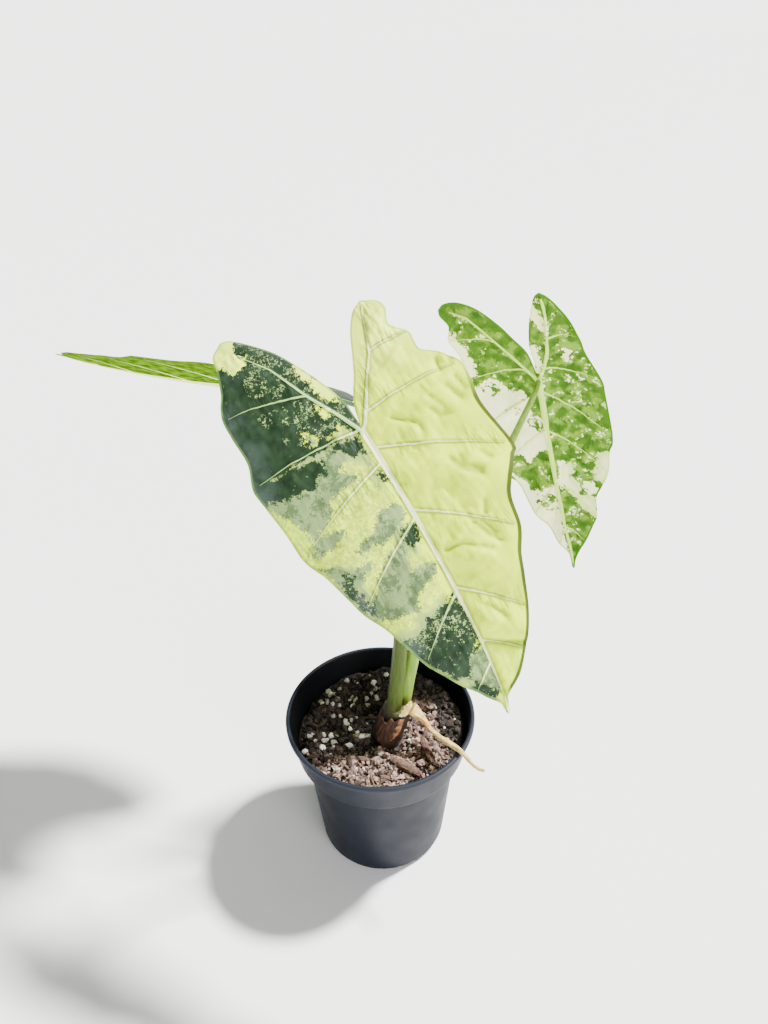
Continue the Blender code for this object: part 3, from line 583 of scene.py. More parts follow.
# Stem base
# The short brown neck of the corm stands in the mix. It is the scarred and fibrous foot that the
# three leaf stalks grow from, and it closes round them at its top.
STEM_RINGS = (
    # height, centre x, centre y, half widths in x and y
    (68.0, 4.0, -5.0, 5.5, 5.5),
    (73.0, 4.0, -5.5, 7.4, 7.4),
    (79.0, 4.2, -5.6, 8.2, 8.2),
    (86.0, 4.8, -5.2, 8.8, 9.0),
    (94.0, 7.8, -4.8, 8.6, 9.0),
    (99.0, 9.4, -4.4, 7.9, 8.7),
    (101.5, 9.8, -4.3, 7.0, 7.9),
)
STEM_CROWN = (
    (102.6, 9.8, -4.3, 5.9, 6.9),
    (103.2, 9.8, -4.3, 4.2, 5.0),
    (103.4, 9.8, -4.3, 1.5, 2.0),
)
STEM_UNEVEN = 1.035
STEM_SIDES = 120
STEM_GREEN = (98.5, 103.5)


def smooth(known, values, at):
    """Cubic pieces through values at the places known; the slope at each place is that of the
    line from the one before it to the one after it."""
    known, values, at = np.asarray(known, float), np.asarray(values, float), np.asarray(at, float)
    step = np.diff(known)
    rise = np.diff(values, axis=0) / step[:, None]
    inner = (values[2:] - values[:-2]) / (known[2:] - known[:-2])[:, None]
    slope = np.concatenate([rise[:1], inner, rise[-1:]])
    i = np.clip(np.searchsorted(known, at, side="right") - 1, 0, len(step) - 1)
    h, f = step[i][:, None], ((at - known[i]) / step[i])[:, None]
    return (
        values[i] * (1 + 2 * f) * (1 - f) ** 2
        + slope[i] * h * f * (1 - f) ** 2
        + values[i + 1] * f * f * (3 - 2 * f)
        - slope[i + 1] * h * f * f * (1 - f)
    )


def stem_rings():
    """Rings of the stem: its half widths at each height, made uneven by waves of three and seven
    lobes and, fading below the crown, by scar rings every 1.7 mm and fine upright fibres."""
    table = np.array(STEM_RINGS + STEM_CROWN)
    foot, brow, top = STEM_RINGS[0][0], STEM_RINGS[-1][0], STEM_CROWN[-1][0]
    z = np.concatenate([np.linspace(foot, brow, 90), np.linspace(101.7, top, 14)])
    cx, cy, rx, ry = smooth(table[:, 0], table[:, 1:], z).T[:, :, None]
    turn = np.arange(STEM_SIDES) * 2 * math.pi / STEM_SIDES
    z = z[:, None]
    uneven = 1 + 0.02 * np.cos(3 * turn + z * 0.3) + 0.012 * np.cos(7 * turn + z * 0.8)
    scars = -0.012 * np.cos(z * 1.85 + 0.7 * np.sin(2 * turn)) ** 8
    fibres = 0.008 * ripple(turn * 7.0, z * 0.12, 0.5, 71)
    uneven = uneven + (scars + fibres) * np.clip((brow - z) / 6, 0, 1)
    return np.stack(
        [cx + rx * uneven * np.cos(turn), cy + ry * uneven * np.sin(turn), z + 0 * turn], -1
    )


def stretched(tree, place, *scale):
    """A place scaled along X, Y and Z; what is drawn there is drawn out where scale is small."""
    return node(tree, "Mapping", {"Vector": place, "Scale": scale}).outputs[0]


def upright_finish(name, stretch, streaks, wander, fade, low, high, grain, **constants):
    """Finish of a standing piece: the pair of colours low up to the fade's heights and high above
    them, with upright streaks from the first of a pair to the second, an edge that wanders up and
    down by 2 mm, and upright grain."""
    made, tree, shader = new_finish(name, **constants)
    place = own_place(tree)
    upright = stretched(tree, place, 1.0, 1.0, stretch)
    streak = clouded(tree, upright, *streaks, 0.35, 0.65)
    shift = clouded(tree, upright, wander, 3.0, 0.3, 0.7, *metres(-2.0, 2.0))
    above = span(tree, summed(tree, part_of(tree, place, "Z"), shift), *metres(*fade))
    colours = (mixed(tree, streak, *pair) for pair in (low, high))
    painted(tree, shader, mixed(tree, above, *colours))
    roughened(tree, shader, cloud(tree, upright, *grain[:2]), grain[2])
    return made


stem_finish = upright_finish(
    "stem_skin", 0.18, (700.0, 5.0), 300.0, STEM_GREEN, (tone(26, 16, 11), tone(60, 41, 27)),
    (tone(58, 66, 26), tone(58, 66, 26)), (900.0, 5.0, 0.4), Roughness=0.82,
)
stem = solid("stem_neck", stem_rings(), stem_finish)
placed(stem, "stem_base")


# Papery sheath
# The dead foot of an old leaf still wraps the front of the stem: a thin, brown, wrinkled skin that
# has torn along its top and down its right edge, where it shows an orange-tan inside.
SHEATH_THICKNESS = 0.5
SHEATH_FROM, SHEATH_TO, SHEATH_FOOT_ANGLE = -170.0, -70.0, -110.0
SHEATH_TOP, SHEATH_FOOT, SHEATH_RISE, SHEATH_SLOPE = 101.6, 80.6, 9.2, 4.6
SHEATH_RAGGED = ((1.1, 5.0, 83), (0.35, 2.0, 84))
SHEATH_CURL = 0.9
SHEATH_STEPS, SHEATH_ROWS = 150, 60
# Angle at which the tear down the right edge begins, and over how much it comes
RIGHT_TEAR = (-96.0, 20.0)
STRIP_GAP = 0.3


def stem_surface(angle, z, grow):
    """A point on the stem at an angle and height, moved out by grow."""
    table = np.array(STEM_RINGS)
    cx, cy, rx, ry = (np.interp(z, table[:, 0], table[:, i]) for i in (1, 2, 3, 4))
    x = cx + (rx * STEM_UNEVEN + grow) * np.cos(angle)
    y = cy + (ry * STEM_UNEVEN + grow) * np.sin(angle)
    return np.stack([x, y, z], -1)


def grid_faces(rows, columns):
    """The numbers of a grid's points, and its four-sided faces."""
    at = np.arange(rows * columns).reshape(rows, columns)
    return at, np.stack([at[:-1, :-1], at[:-1, 1:], at[1:, 1:], at[1:, :-1]], -1).reshape(-1, 4)


def strip(angle, z, thickness, off):
    """Points and faces of a thin closed strip round the stem, over a grid of angles and heights,
    off from the stem by a distance for each point."""
    turn = np.broadcast_to(angle, z.shape)
    outer = stem_surface(turn, z, STRIP_GAP + thickness + off).reshape(-1, 3)
    inner = stem_surface(turn, z, STRIP_GAP + off).reshape(-1, 3)
    at, skin = grid_faces(*z.shape)
    round_edge = np.concatenate([at[0, :-1], at[:-1, -1], at[-1, :0:-1], at[:0:-1, 0]])
    following = np.roll(round_edge, -1)
    count = z.size
    edge = np.stack([following, round_edge, round_edge + count, following + count], 1)
    return np.concatenate([outer, inner]), np.concatenate([skin, skin[:, ::-1] + count, edge])


sheath_finish, tree, shader = new_finish("papery_skin", Roughness=0.75)
place = own_place(tree)
upright = stretched(tree, place, 1.0, 1.0, 0.3)
streak = clouded(tree, upright, 600.0, 5.0, 0.3, 0.7)
brown = mixed(tree, streak, tone(26, 16, 11), tone(84, 54, 36))
blotch = clouded(tree, place, 500.0, 4.0, 0.35, 0.65)
tan = mixed(tree, blotch, tone(104, 58, 30), tone(168, 122, 80))
ragged = clouded(tree, place, 420.0, 4.0, 0.3, 0.7, -0.5, 0.4)
torn = span(tree, summed(tree, mark_named(tree, "torn"), ragged), 0.42, 0.62)
painted(tree, shader, mixed(tree, torn, brown, tan))
roughened(tree, shader, cloud(tree, upright, 800.0, 5.0), 0.4)

angle = np.radians(np.linspace(SHEATH_FROM, SHEATH_TO, SHEATH_STEPS))
foot, end = math.radians(SHEATH_FOOT_ANGLE), math.radians(SHEATH_TO)
low = SHEATH_FOOT + SHEATH_RISE * np.abs(angle - foot) / (end - foot)
arc = np.degrees(angle) * 0.15
ragged = sum(high * ripple(arc, 0 * arc, size, seed) for high, size, seed in SHEATH_RAGGED)
high = SHEATH_TOP + ragged - SHEATH_SLOPE * (end - angle) / (end - math.radians(SHEATH_FROM))
share = np.linspace(0, 1, SHEATH_ROWS)[:, None]
z = low + (high - low) * share
wrinkle = 0.14 * ripple(arc + 0 * z, z * 0.25, 1.6, 81) + 0.2
off = SHEATH_CURL * np.clip((share - 0.7) / 0.3, 0, 1) ** 1.5 + np.clip(wrinkle, 0, 0.6)
points, faces = strip(angle, z, SHEATH_THICKNESS, off)
tear_from, tear_over = np.radians(RIGHT_TEAR)
right_tear = np.clip((angle - tear_from) / tear_over, 0, 1)
top_tear = 0.2 * np.clip((share - 0.9) / 0.1, 0, 1)
torn = np.tile(np.maximum(right_tear + 0 * share, top_tear + 0 * angle).ravel(), 2)
sheath = shape("papery_wrap", points, [(faces, sheath_finish)], torn=torn)
placed(sheath, "papery_sheath")


# Dried stalk
# An old leaf stalk, dried to straw: its wide, cream foot still clasps the stem, and the shrunken,
# wrinkled rest of it runs over the soil and hangs across the rim.
CLASP_FROM, CLASP_TO, CLASP_MIDDLE, CLASP_RISE = -86.0, -28.0, 106.2, 4.4
CLASP_THICKNESS = 1.0
CLASP_HALF_HEIGHT = (0.8, 3.2)
DRIED_STALK = (
    # x, y, z, radius
    (17.0, -8.7, 103.6, 3.6),
    (19.5, -9.5, 101.6, 2.9),
    (22.3, -11.4, 99.6, 2.1),
    (24.8, -13.7, 97.5, 1.5),
    (27.6, -17.2, 95.6, 1.2),
    (32.2, -21.7, 94.7, 1.4),
    (37.4, -26.8, 95.2, 1.5),
    (41.7, -31.4, 95.6, 1.2),
    (46.5, -38.2, 94.6, 1.0),
    (50.0, -42.8, 95.2, 0.9),
    (52.6, -44.6, 96.0, 0.8),
)
STRAW_STEPS, STRAW_SIDES, STRAW_LENGTH = 260, 40, 95.0
CLASP_STEPS, CLASP_ROWS = 90, 40
# Middle of the orange spot, and the distances from it over which it fades
ORANGE_SPOT = (25.2, -14.1, 97.2)
ORANGE_FADE = (0.8, 3.4)


def curve_through(points, count):
    """Evenly spread points on a smooth curve through the given ones, by length."""
    points = np.asarray(points, float)
    length = np.concatenate([[0], np.cumsum(np.linalg.norm(np.diff(points[:, :3], axis=0), axis=1))])
    return smooth(length, points, np.linspace(0, length[-1], count))


def carried(centres, radii, sides, level):
    """Rings round a line: centre + radius (cos a side + sin a other), with side and other square
    to the line, and side as near as can be to level. The radii have a row for each centre."""
    ways = np.gradient(centres, axis=0)
    ways /= np.linalg.norm(ways, axis=1)[:, None]
    side = level - ways * (ways @ level)[:, None]
    side /= np.linalg.norm(side, axis=1)[:, None]
    other = np.cross(ways, side)
    turn = np.arange(sides) * 2 * math.pi / sides
    ring = np.cos(turn)[None, :, None] * side[:, None] + np.sin(turn)[None, :, None] * other[:, None]
    return centres[:, None] + radii[..., None] * ring


straw_finish, tree, shader = new_finish("dried_stalk", Roughness=0.7)
place = own_place(tree)
blotch = clouded(tree, place, 260.0, 4.0, 0.35, 0.65)
straw = mixed(tree, blotch, tone(184, 144, 76), tone(234, 212, 134))
off_spot = vector_math(tree, "DISTANCE", {0: place, 1: metres(*ORANGE_SPOT)}, "Value")
spot = span(tree, off_spot, *metres(*ORANGE_FADE), 0.85, 0.0)
painted(tree, shader, mixed(tree, spot, straw, tone(186, 88, 36)))
roughened(tree, shader, cloud(tree, place, 900.0, 5.0), 0.3)

line = curve_through(DRIED_STALK, STRAW_STEPS)
turn = np.arange(STRAW_SIDES) * 2 * math.pi / STRAW_SIDES
along = np.linspace(0, STRAW_LENGTH, STRAW_STEPS)[:, None]
wrinkles = 1 + 0.07 * ripple(np.cos(turn) * 3 + 0 * along, np.sin(turn) * 3 + along * 0.2, 2.5, 91)
creases = 0.05 * np.cos(5 * turn + 0.05 * along)
radii = line[:, 3:] * (wrinkles + creases)
rings = carried(line[:, :3], radii, STRAW_SIDES, np.array([0.0, 0.0, 1.0]))
tube_points, sides, fans = closed_rings(rings)
angle = np.radians(np.linspace(CLASP_FROM, CLASP_TO, CLASP_STEPS))
least, most = CLASP_HALF_HEIGHT
arch = np.sin(np.linspace(0, math.pi, CLASP_STEPS))
half = least + (most - least) * arch + 0.25 * np.sin(angle * 31)
share = np.linspace(-1, 1, CLASP_ROWS)[:, None]
z = CLASP_MIDDLE + CLASP_RISE * np.linspace(-0.5, 0.5, CLASP_STEPS) + half * share
off = 0.25 * np.abs(share) ** 3 + 0.1 + 0.1 * np.sin(angle * 14 + 2 * share)
clasp_points, clasp_faces = strip(angle, z, CLASP_THICKNESS, off)
parts = [(faces, straw_finish) for faces in (sides, fans, clasp_faces + len(tube_points))]
dried = shape("dried_straw", np.concatenate([tube_points, clasp_points]), parts)
placed(dried, "dried_stalk")


# Leaf blades
# Three arrow-shaped blades, each one thick living sheet with a raised midrib and puffed panels
# between its side veins. Dark green velvet and bare cream lie in ragged patches side by side.
BLADE_THICKNESS = 0.8
RIB_HEIGHT = 1.3
RIB_WIDTH = 2.2
QUILT = 1.7
EDGE_WAVE = 1.3
VEIN_BOW = 1.2
TIP_TURN = 12
LOBE_EASE = 6.0
PANEL_LENGTH = 24.0
PUCKER = 0.45
LOBE_ROWS = 104
MIDRIB_ROWS = 190
COLUMNS = 54
MIDRIB_HALF_WIDTH = (1.4, 0.4)
COSTA_HALF_WIDTH = (0.85, 0.2)
VEIN_HALF_WIDTH = (0.48, 0.03)
CRUMPLE = ((0.42, 13.0, 101), (0.2, 5.0, 102))

# One half of a blade, laid flat: u along the midrib from the sinus, v across it. costa is the
# lobe's main vein. outer and inner say where the edge lies (u, v) for the place s on the main
# vein, negative along the costa and positive along the midrib. veins are the places s where side
# veins leave it.
FRONT_LEFT = {
    "costa": ((0, 0), (-10.5, -5.3), (-25.8, -13.9), (-45.4, -22.7), (-59, -32.4)),
    "outer": ((-67.5, -71.5, -37.5), (-60, -67, -42.9), (-52, -56.5, -44), (-42, -46.2, -46.4),
              (-35, -41, -49.4), (-29.3, -35, -51), (-20, -25, -50.2), (-10, -11.1, -48.8),
              (-1.5, 0, -51.8), (5, 11, -49.8), (10, 23.2, -47.5), (15.3, 36.2, -46.1),
              (25, 47, -40.8), (33, 57.1, -37.5), (41.8, 67, -34.6), (52, 76, -29.4),
              (62, 85, -26), (75.9, 96.5, -22.3), (88, 104, -17.3), (101, 113, -12),
              (113, 119.5, -7.4), (122, 124.5, -3.2), (127, 128, -2.6), (132, 132, -2.4)),
    "inner": ((-67.5, -71.5, -37.5), (-61, -70, -33.2), (-52, -62, -25.5), (-42, -52, -17.5),
              (-32, -40.6, -11.3), (-22, -28, -5.3), (-12, -16, -1), (-5, -8, 0), (0, -4, 0.4)),
    "veins": (-67.5, -29.3, -1.5, 15.3, 41.8, 75.9, 108, 132),
}
FRONT_RIGHT = {
    "costa": ((0, 0), (-2.9, 2.7), (-14.5, 9.3), (-30.4, 18.5), (-44.2, 22.8), (-51.9, 25)),
    "outer": ((-58, -55, 26), (-52, -51, 31.5), (-46, -44.6, 33.5), (-40, -37.5, 31.4),
              (-35.7, -30.6, 36.9), (-28, -24, 36.9), (-20, -19, 37.4), (-14, -14.5, 44),
              (-8.5, -7.1, 49.4), (-3, 3, 49.2), (3, 14, 48), (8.3, 34, 51.4), (14, 38.5, 49.2),
              (24, 47, 43), (31, 53, 39.9), (38.3, 64.5, 38), (50, 74.5, 32.5), (62, 83, 29.5),
              (73.8, 94.5, 25.5), (86, 103, 20.5), (98.2, 109.5, 16.6), (110, 117, 10),
              (120, 123.3, 1.6), (127, 128, -0.3), (132, 132, -1.6)),
    "inner": ((-58, -55, 26), (-50, -51.5, 20.5), (-42, -43.4, 15.5), (-33, -33, 11.4),
              (-24, -25, 8.2), (-15, -17, 4), (-8, -11, 1.6), (-3, -6, 0.8), (0, -4, 0.4)),
    "veins": (-58, -35.7, -8.5, 8.3, 38.3, 73.8, 98.2, 132),
}
BACK_RIGHT = {
    "costa": ((0, 0), (-10, 6.9), (-25, 17.2), (-41, 27.6), (-46, 34.8)),
    "outer": ((-58, -48, 39.8), (-52, -44, 39.9), (-44, -37, 38.2), (-30, -30, 39.8),
              (-22, -22, 38.6), (-15, -13, 37.2), (-8.5, -3, 39.4), (0, 12, 39), (8, 32, 40.6),
              (20, 42, 36.6), (32, 58, 33.4), (44, 67, 26.6), (58, 78, 22.4), (68, 89, 18.4),
              (80, 97, 12.8), (95, 107, 7.6), (108, 114.5, 2.9), (117, 119.5, 1.2), (124, 124, 0.4)),
    "inner": ((-58, -48, 39.8), (-54, -50.4, 36.5), (-46, -49.5, 29.5), (-38, -44, 21.5),
              (-30, -34, 13.4), (-20, -25, 7.8), (-12, -17, 2.8), (-5, -9, 1.2), (0, -3, 0.5)),
    "veins": (-58, -30, -8.5, 8, 32, 68, 98, 124),
}
BACK_LEFT = {
    "costa": ((0, 0), (-8, -4.4), (-16, -7.1), (-26, -9.3), (-37, -10.5), (-46, -10.3)),
    "outer": ((-48, -49, -10.2), (-44, -46, -13.6), (-38, -37.5, -17.8), (-31, -29, -22),
              (-24, -21, -24.2), (-16, -12, -25), (-8.3, 3, -30.6), (0, 14, -30.8),
              (7, 38.5, -31.4), (18, 49, -28.2), (32, 61, -26.4), (45, 72, -21), (56, 79, -17.4),
              (67, 89, -17), (80, 97, -13.6), (95, 106, -9), (108, 113.5, -4.2), (117, 119, -1.4),
              (124, 124, -0.4)),
    "inner": ((-48, -49, -10.2), (-44, -47, -7.4), (-36, -38, -3.6), (-28, -28, -0.8),
              (-20, -20, 0.4), (-12, -12.5, 0.1), (-5, -7, 0.2), (0, -3, 0.5)),
    "veins": (-48, -26, -8.3, 7, 32, 67, 96, 124),
}

# Short folds pressed into the upper face beside the side veins, as flat corners on one half
FRONT_RIGHT_FOLDS = (
    ((-13, 41), (-8, 40)), ((-11, 46), (-8, 45)), ((-2, 44), (5, 45)), ((0, 39), (8, 42)),
    ((6, 29), (10, 31), (11, 35)), ((1, 31), (8, 34)), ((1, 13), (9, 22), (15, 21)),
    ((28, 26), (34, 28), (39, 34)), ((29, 30), (33, 30), (37, 35)), ((31, 38), (35, 40)),
    ((49, 30), (53, 28)), ((55, 22), (62, 25), (66, 28)), ((55, 25), (62, 28)),
    ((99, 4), (103, 10), (106, 16)), ((59, 7), (60, 14), (67, 23)), ((86, 11), (93, 15)),
)
FOLD_DEPTH = 1.2
FOLD_WIDTH = 1.5

# Each leaf: the sinus in space, the way its midrib leaves it, the way its upper face looks, how
# it bends along and across, how far its tip turns aside, and its two halves.
LEAVES = {
    "front": {
        "puffed": 1.0, "ribbed": 1.0,
        "sinus": (-3.2, -15.7, 273.6), "along": (0.433, -0.682, -0.589),
        "faces": (-0.139, -0.696, 0.704), "bend": 0.0037, "lobe_bend": 0.0030,
        "fold": 8.0, "droop": 0.0044, "midrib_bow": 2.8, "tip_shift": 2.0, "length": 132.0,
        "size": 1.0, "lobe_size": 1.0, "halves": (FRONT_LEFT, FRONT_RIGHT),
    },
    "right": {
        "puffed": 0.8, "ribbed": 1.1,
        "sinus": (84.4, 60.4, 262.8), "along": (0.322, 0.177, -0.930),
        "faces": (0.337, 0.897, 0.287), "bend": 0.0030, "lobe_bend": 0.0010,
        "fold": 10.0, "droop": 0.0100, "midrib_bow": 3.0, "tip_shift": 0.0, "length": 124.0,
        "size": 1.0, "lobe_size": 1.0, "halves": (BACK_LEFT, BACK_RIGHT),
    },
    "left": {
        "puffed": 0.1, "ribbed": 2.4,
        "sinus": (-59.8, 65.0, 260.0), "along": (-0.926, 0.372, -0.068),
        "faces": (0.113, 0.445, 0.888), "bend": -0.0012, "lobe_bend": 0.0090,
        "fold": 10.3, "droop": 0.0018, "midrib_bow": 0.0, "tip_shift": 2.0, "length": 132.0,
        "size": 1.012, "lobe_size": 0.70, "halves": (FRONT_LEFT, FRONT_RIGHT),
    },
}

# Patches on a half, flat: what they are (green, grey or cream), how thickly flecked from 0 to 1,
# and the corners (u, v). Later ones lie over earlier ones. The rest of a half is its ground.
FRONT_LEFT_PATCHES = (
    ("green", 0.02, ((-78, -28), (-62, -55), (-38, -58), (2, -58), (0, -30), (-1, -2), (2, 0),
        (-5, 4), (-40, -5), (-60, -18))),
    ("green", 0.2, ((-68, -34), (-62, -22), (-40, -8), (-20, 2), (0, 4), (-5, -3), (-16, -8),
        (-25, -13), (-40, -20), (-56, -29))),
    ("green", 0.19, ((-52, -33), (-52, -27), (-44, -21), (-34, -20), (-30, -26), (-35, -30),
        (-37, -36), (-43, -36))),
    ("green", 0.19, ((-32, -38), (-27, -33), (-26, -20), (-24, -13), (-14, -7), (-5, -3), (-2, -5),
        (-4, -13), (-2, -21), (-7, -25), (-12, -25), (-17, -26), (-20, -35), (-25, -37))),
    ("green", 0.25, ((-13, -31), (-11, -26), (-6, -24), (-8, -30))),
    ("cream", 0.0, ((-70, -46), (-76, -36), (-68, -31), (-63, -34), (-57, -30), (-51, -33),
        (-50, -37), (-57, -41), (-62, -46))),
    ("cream", 0.0, ((-44, -12), (-32, -7), (-23, -1), (-18, -4), (-21, -8), (-26, -10), (-31, -10),
        (-36, -13))),
    ("cream", 0.0, ((-20, -13), (-16, -9), (-12, -8), (-13, -11), (-17, -13))),
    ("cream", 0.0, ((-8, -8), (-1, -3), (-1, -8), (-4, -14), (-6, -9))),
    ("grey", 0.1, ((-10, -22), (-6, -18), (-4, -20), (-7, -23))),
    ("grey", 0.1, ((0, -17), (4, -10), (8, -12), (11, -16), (16, -10), (18, -12), (18, -17),
        (20, -25), (25, -26), (29, -33), (28, -39), (19, -44), (9, -50), (11, -40), (13, -29),
        (4, -19))),
    ("grey", 0.1, ((33, -1), (39, 0), (44, -9), (46, -15), (44, -18), (46, -23), (43, -26),
        (39, -15), (33, -10))),
    ("grey", 0.1, ((25, -38), (31, -34), (33, -25), (36, -26), (39, -38), (36, -44), (35, -40))),
    ("grey", 0.1, ((40, -44), (44, -39), (44, -35), (50, -30), (48, -27), (50, -21), (55, -28),
        (58, -35), (48, -39))),
    ("grey", 0.1, ((47, -6), (60, -9), (60, -3), (61, 1), (66, -1), (68, -7), (71, -12), (76, -14),
        (74, -18), (74, -26), (67, -33), (64, -31), (61, -25), (57, -23), (51, -16))),
    ("grey", 0.1, ((100, 2), (112, 3), (121, -1), (117, -6), (110, -9), (105, -7), (101, -5))),
    ("green", 0.03, ((0, -54), (9, -51), (12, -38), (13, -29), (10, -25), (9, -21), (3, -19),
        (1, -28), (0, -42))),
    ("green", 0.05, ((0, -15), (0, -3), (13, -3), (7, -4), (8, -8), (5, -12), (2, -14))),
    ("green", 0.0, ((17, -2), (23, 1), (23, -2), (19, -3))),
    ("green", 0.2, ((49, -34), (50, -31), (57, -32), (67, -28), (70, -31), (66, -34), (55, -38))),
    ("green", 0.1, ((44, -6), (43, 1), (51, 1), (52, -4), (48, -7))),
    ("green", 0.08, ((76, 1), (91, 2), (100, 1), (101, -5), (105, -7), (110, -9), (105, -16),
        (96, -23), (90, -26), (82, -27), (85, -22), (86, -20), (83, -15), (79, -14), (80, -9))),
    ("green", 0.22, ((77, 1), (88, 2), (97, 1), (95, -5), (88, -7), (90, -13), (93, -18),
        (89, -24), (82, -26), (84, -20), (82, -14))),
    ("green", 0.15, ((122, -1), (121, -7), (114, -12), (112, -8), (116, -4), (119, -1))),
)
BACK_RIGHT_PATCHES = (
    ("green", 0.03, ((-58, 46), (-50, 30), (-44, 22), (-25, 8), (-8, 0), (0, -1), (0, 2), (-10, 8),
        (-25, 18), (-41, 28), (-46, 35), (-52, 42))),
    ("cream", 0.0, ((-48, 46), (-35, 38), (-25, 33), (-13, 32), (-5, 31), (-4, 36), (-20, 46))),
    ("cream", 0.0, ((-5, 45), (2, 33), (-2, 27), (2, 19), (7, 18), (8, 12), (12, 7), (15, 10),
        (24, 7), (27, 2), (34, 1), (45, 2), (48, 10), (55, 16), (48, 20), (50, 26), (36, 42))),
    ("green", 0.55, ((0, 32), (1, 25), (4, 22), (8, 23), (10, 28), (6, 33))),
    ("green", 0.4, ((25, 11), (26, 5), (32, 2), (34, 8), (30, 12))),
    ("green", 0.75, ((12, 9), (16, 8), (19, 13), (23, 19), (21, 23), (17, 17))),
    ("cream", 0.0, ((60, 28), (67, 21), (73, 18), (73, 11), (67, 2), (100, 3), (122, 2), (110, 12),
        (86, 26))),
    ("green", 0.35, ((76, 14), (75, 8), (78, 3), (86, 4), (88, 9), (83, 14), (80, 17))),
)
BACK_LEFT_PATCHES = (
    ("cream", 0.0, ((-44, -6), (-39, -8), (-29, -10), (-26, -8), (-31, -5), (-36, -3), (-42, -3))),
    ("cream", 0.0, ((-24, 0), (-20, -2), (-9, -4), (-4, -2), (-6, 0), (-16, 1))),
    ("cream", 0.0, ((-16, -15), (-14, -18), (-8, -16), (-11, -14))),
    ("cream", 0.0, ((50, -22), (48, -30), (60, -30), (69, -22), (66, -17), (57, -20))),
    ("cream", 0.0, ((54, 0), (57, -7), (64, -6), (70, -9), (76, -10), (79, -17), (90, -19),
        (91, -15), (85, -9), (79, -7), (74, -3), (68, 2))),
    ("green", 0.6, ((68, -12), (72, -10), (77, -14), (74, -20), (68, -17))),
)
# Ground of each half, as the distance inside green and the fleck share, and its patches
GROUNDS = {
    "front": ((-9.0, 0.0, FRONT_LEFT_PATCHES), (-9.0, 0.0, ())),
    "right": ((9.0, 0.16, BACK_LEFT_PATCHES), (9.0, 0.14, BACK_RIGHT_PATCHES)),
    "left": ((9.0, 0.0, ()), (9.0, 0.0, ())),
}


def midrib(leaf, u):
    """How far the midrib stands to the side of a straight line: bowed, then turned at its tip."""
    share = np.clip(np.asarray(u) / leaf["length"], 0, 1)
    return leaf["midrib_bow"] * np.sin(math.pi * share) - leaf["tip_shift"] * share**TIP_TURN


def main_vein(leaf, half, s):
    """Flat place (u, v) on the main vein at s: the costa below zero, the midrib above."""
    costa = np.array(half["costa"], float)
    run = np.concatenate([[0], np.cumsum(np.linalg.norm(np.diff(costa, axis=0), axis=1))])
    back = np.clip(-s, 0, None)
    u = np.where(s < 0, np.interp(back, run, costa[:, 0]), s)
    v = np.where(s < 0, np.interp(back, run, costa[:, 1]), midrib(leaf, s))
    return np.stack([u, v], 1)


def flat_sheet(leaf, half, edge, s, across):
    """Flat grid from the main vein to an edge: foot + (edge - foot) t, and how far each point is
    from either. The rows of the outer sheet are bowed back by a half sine, less near the lobe's
    tip, so that both sheets meet there."""
    table = np.array(half[edge], float)
    foot = main_vein(leaf, half, s)[:, None, :]
    rim = smooth(table[:, 0], table[:, 1:], s)[:, None, :]
    t = across[None, :, None]
    flat = foot + (rim - foot) * t
    long = np.linalg.norm(rim - foot, axis=-1)
    if edge == "outer":
        eased = np.clip((s - s[0]) / LOBE_EASE, 0, 1)[:, None]
        flat[..., 0] -= VEIN_BOW * eased * np.sin(math.pi * t[..., 0]) * np.clip(long / 40.0, 0, 1)
    return flat, long * t[..., 0], long * (1 - t[..., 0])


def relief(half, flat, s, across):
    """Height of the puffed panels and waved edge: low on each side vein, high between two, with
    small puckers beside the veins, and uneven all over."""
    veins = np.array(half["veins"], float)
    phase = np.interp(s, veins, np.arange(len(veins)))
    long = np.diff(veins)[np.clip(phase.astype(int), 0, len(veins) - 2)]
    panel = np.clip(long / PANEL_LENGTH, 0.3, 1.0)
    t = across[None, :]
    between = (np.sin(math.pi * phase) ** 2 * panel)[:, None]
    puff = QUILT * between * np.sin(math.pi * t) ** 0.8
    wave = EDGE_WAVE * (between * 2 - panel[:, None]) * t**3
    beside = (np.sin(math.pi * phase) ** 2 * np.cos(math.pi * phase) ** 2)[:, None]
    pucker = PUCKER * beside * np.sin(t * 24 + s[:, None] * 0.5) * np.sin(math.pi * t) * t
    u, v = flat[..., 0], flat[..., 1]
    crumple = sum(high * ripple(u, v, size, seed) for high, size, seed in CRUMPLE)
    uneven = crumple * np.sin(math.pi * np.clip(t * 1.1, 0, 1)) ** 0.5
    if half is FRONT_RIGHT:
        uneven = uneven - FOLD_DEPTH * folded(flat.reshape(-1, 2)).reshape(u.shape)
    return (puff + wave + pucker + uneven) * np.clip((s - s[0]) / LOBE_EASE, 0, 1)[:, None]


def place_leaf(leaf, u, v, lift):
    """Flat blade to space: folded up along the midrib, drooping outwards, bent along it."""
    along = np.array(leaf["along"]) / np.linalg.norm(leaf["along"])
    up = np.array(leaf["faces"], float)
    up -= up.dot(along) * along
    up /= np.linalg.norm(up)
    across = np.cross(up, along)
    size = leaf["size"]
    u = np.where(u < 0, u * leaf["lobe_size"], u) * size
    v = v * size
    rate = np.where(u > 0, leaf["bend"], leaf["lobe_bend"])
    out = np.abs(v - midrib(leaf, u / size) * size)
    height = math.tan(math.radians(leaf["fold"])) * out - 0.5 * leaf["droop"] * out**2 + lift
    turn = rate * u
    forward = np.sin(turn) / rate + height * np.sin(turn)
    rise = -(1 - np.cos(turn)) / rate + height * np.cos(turn)
    return (
        np.array(leaf["sinus"])
        + forward[..., None] * along
        + v[..., None] * across
        + rise[..., None] * up
    )


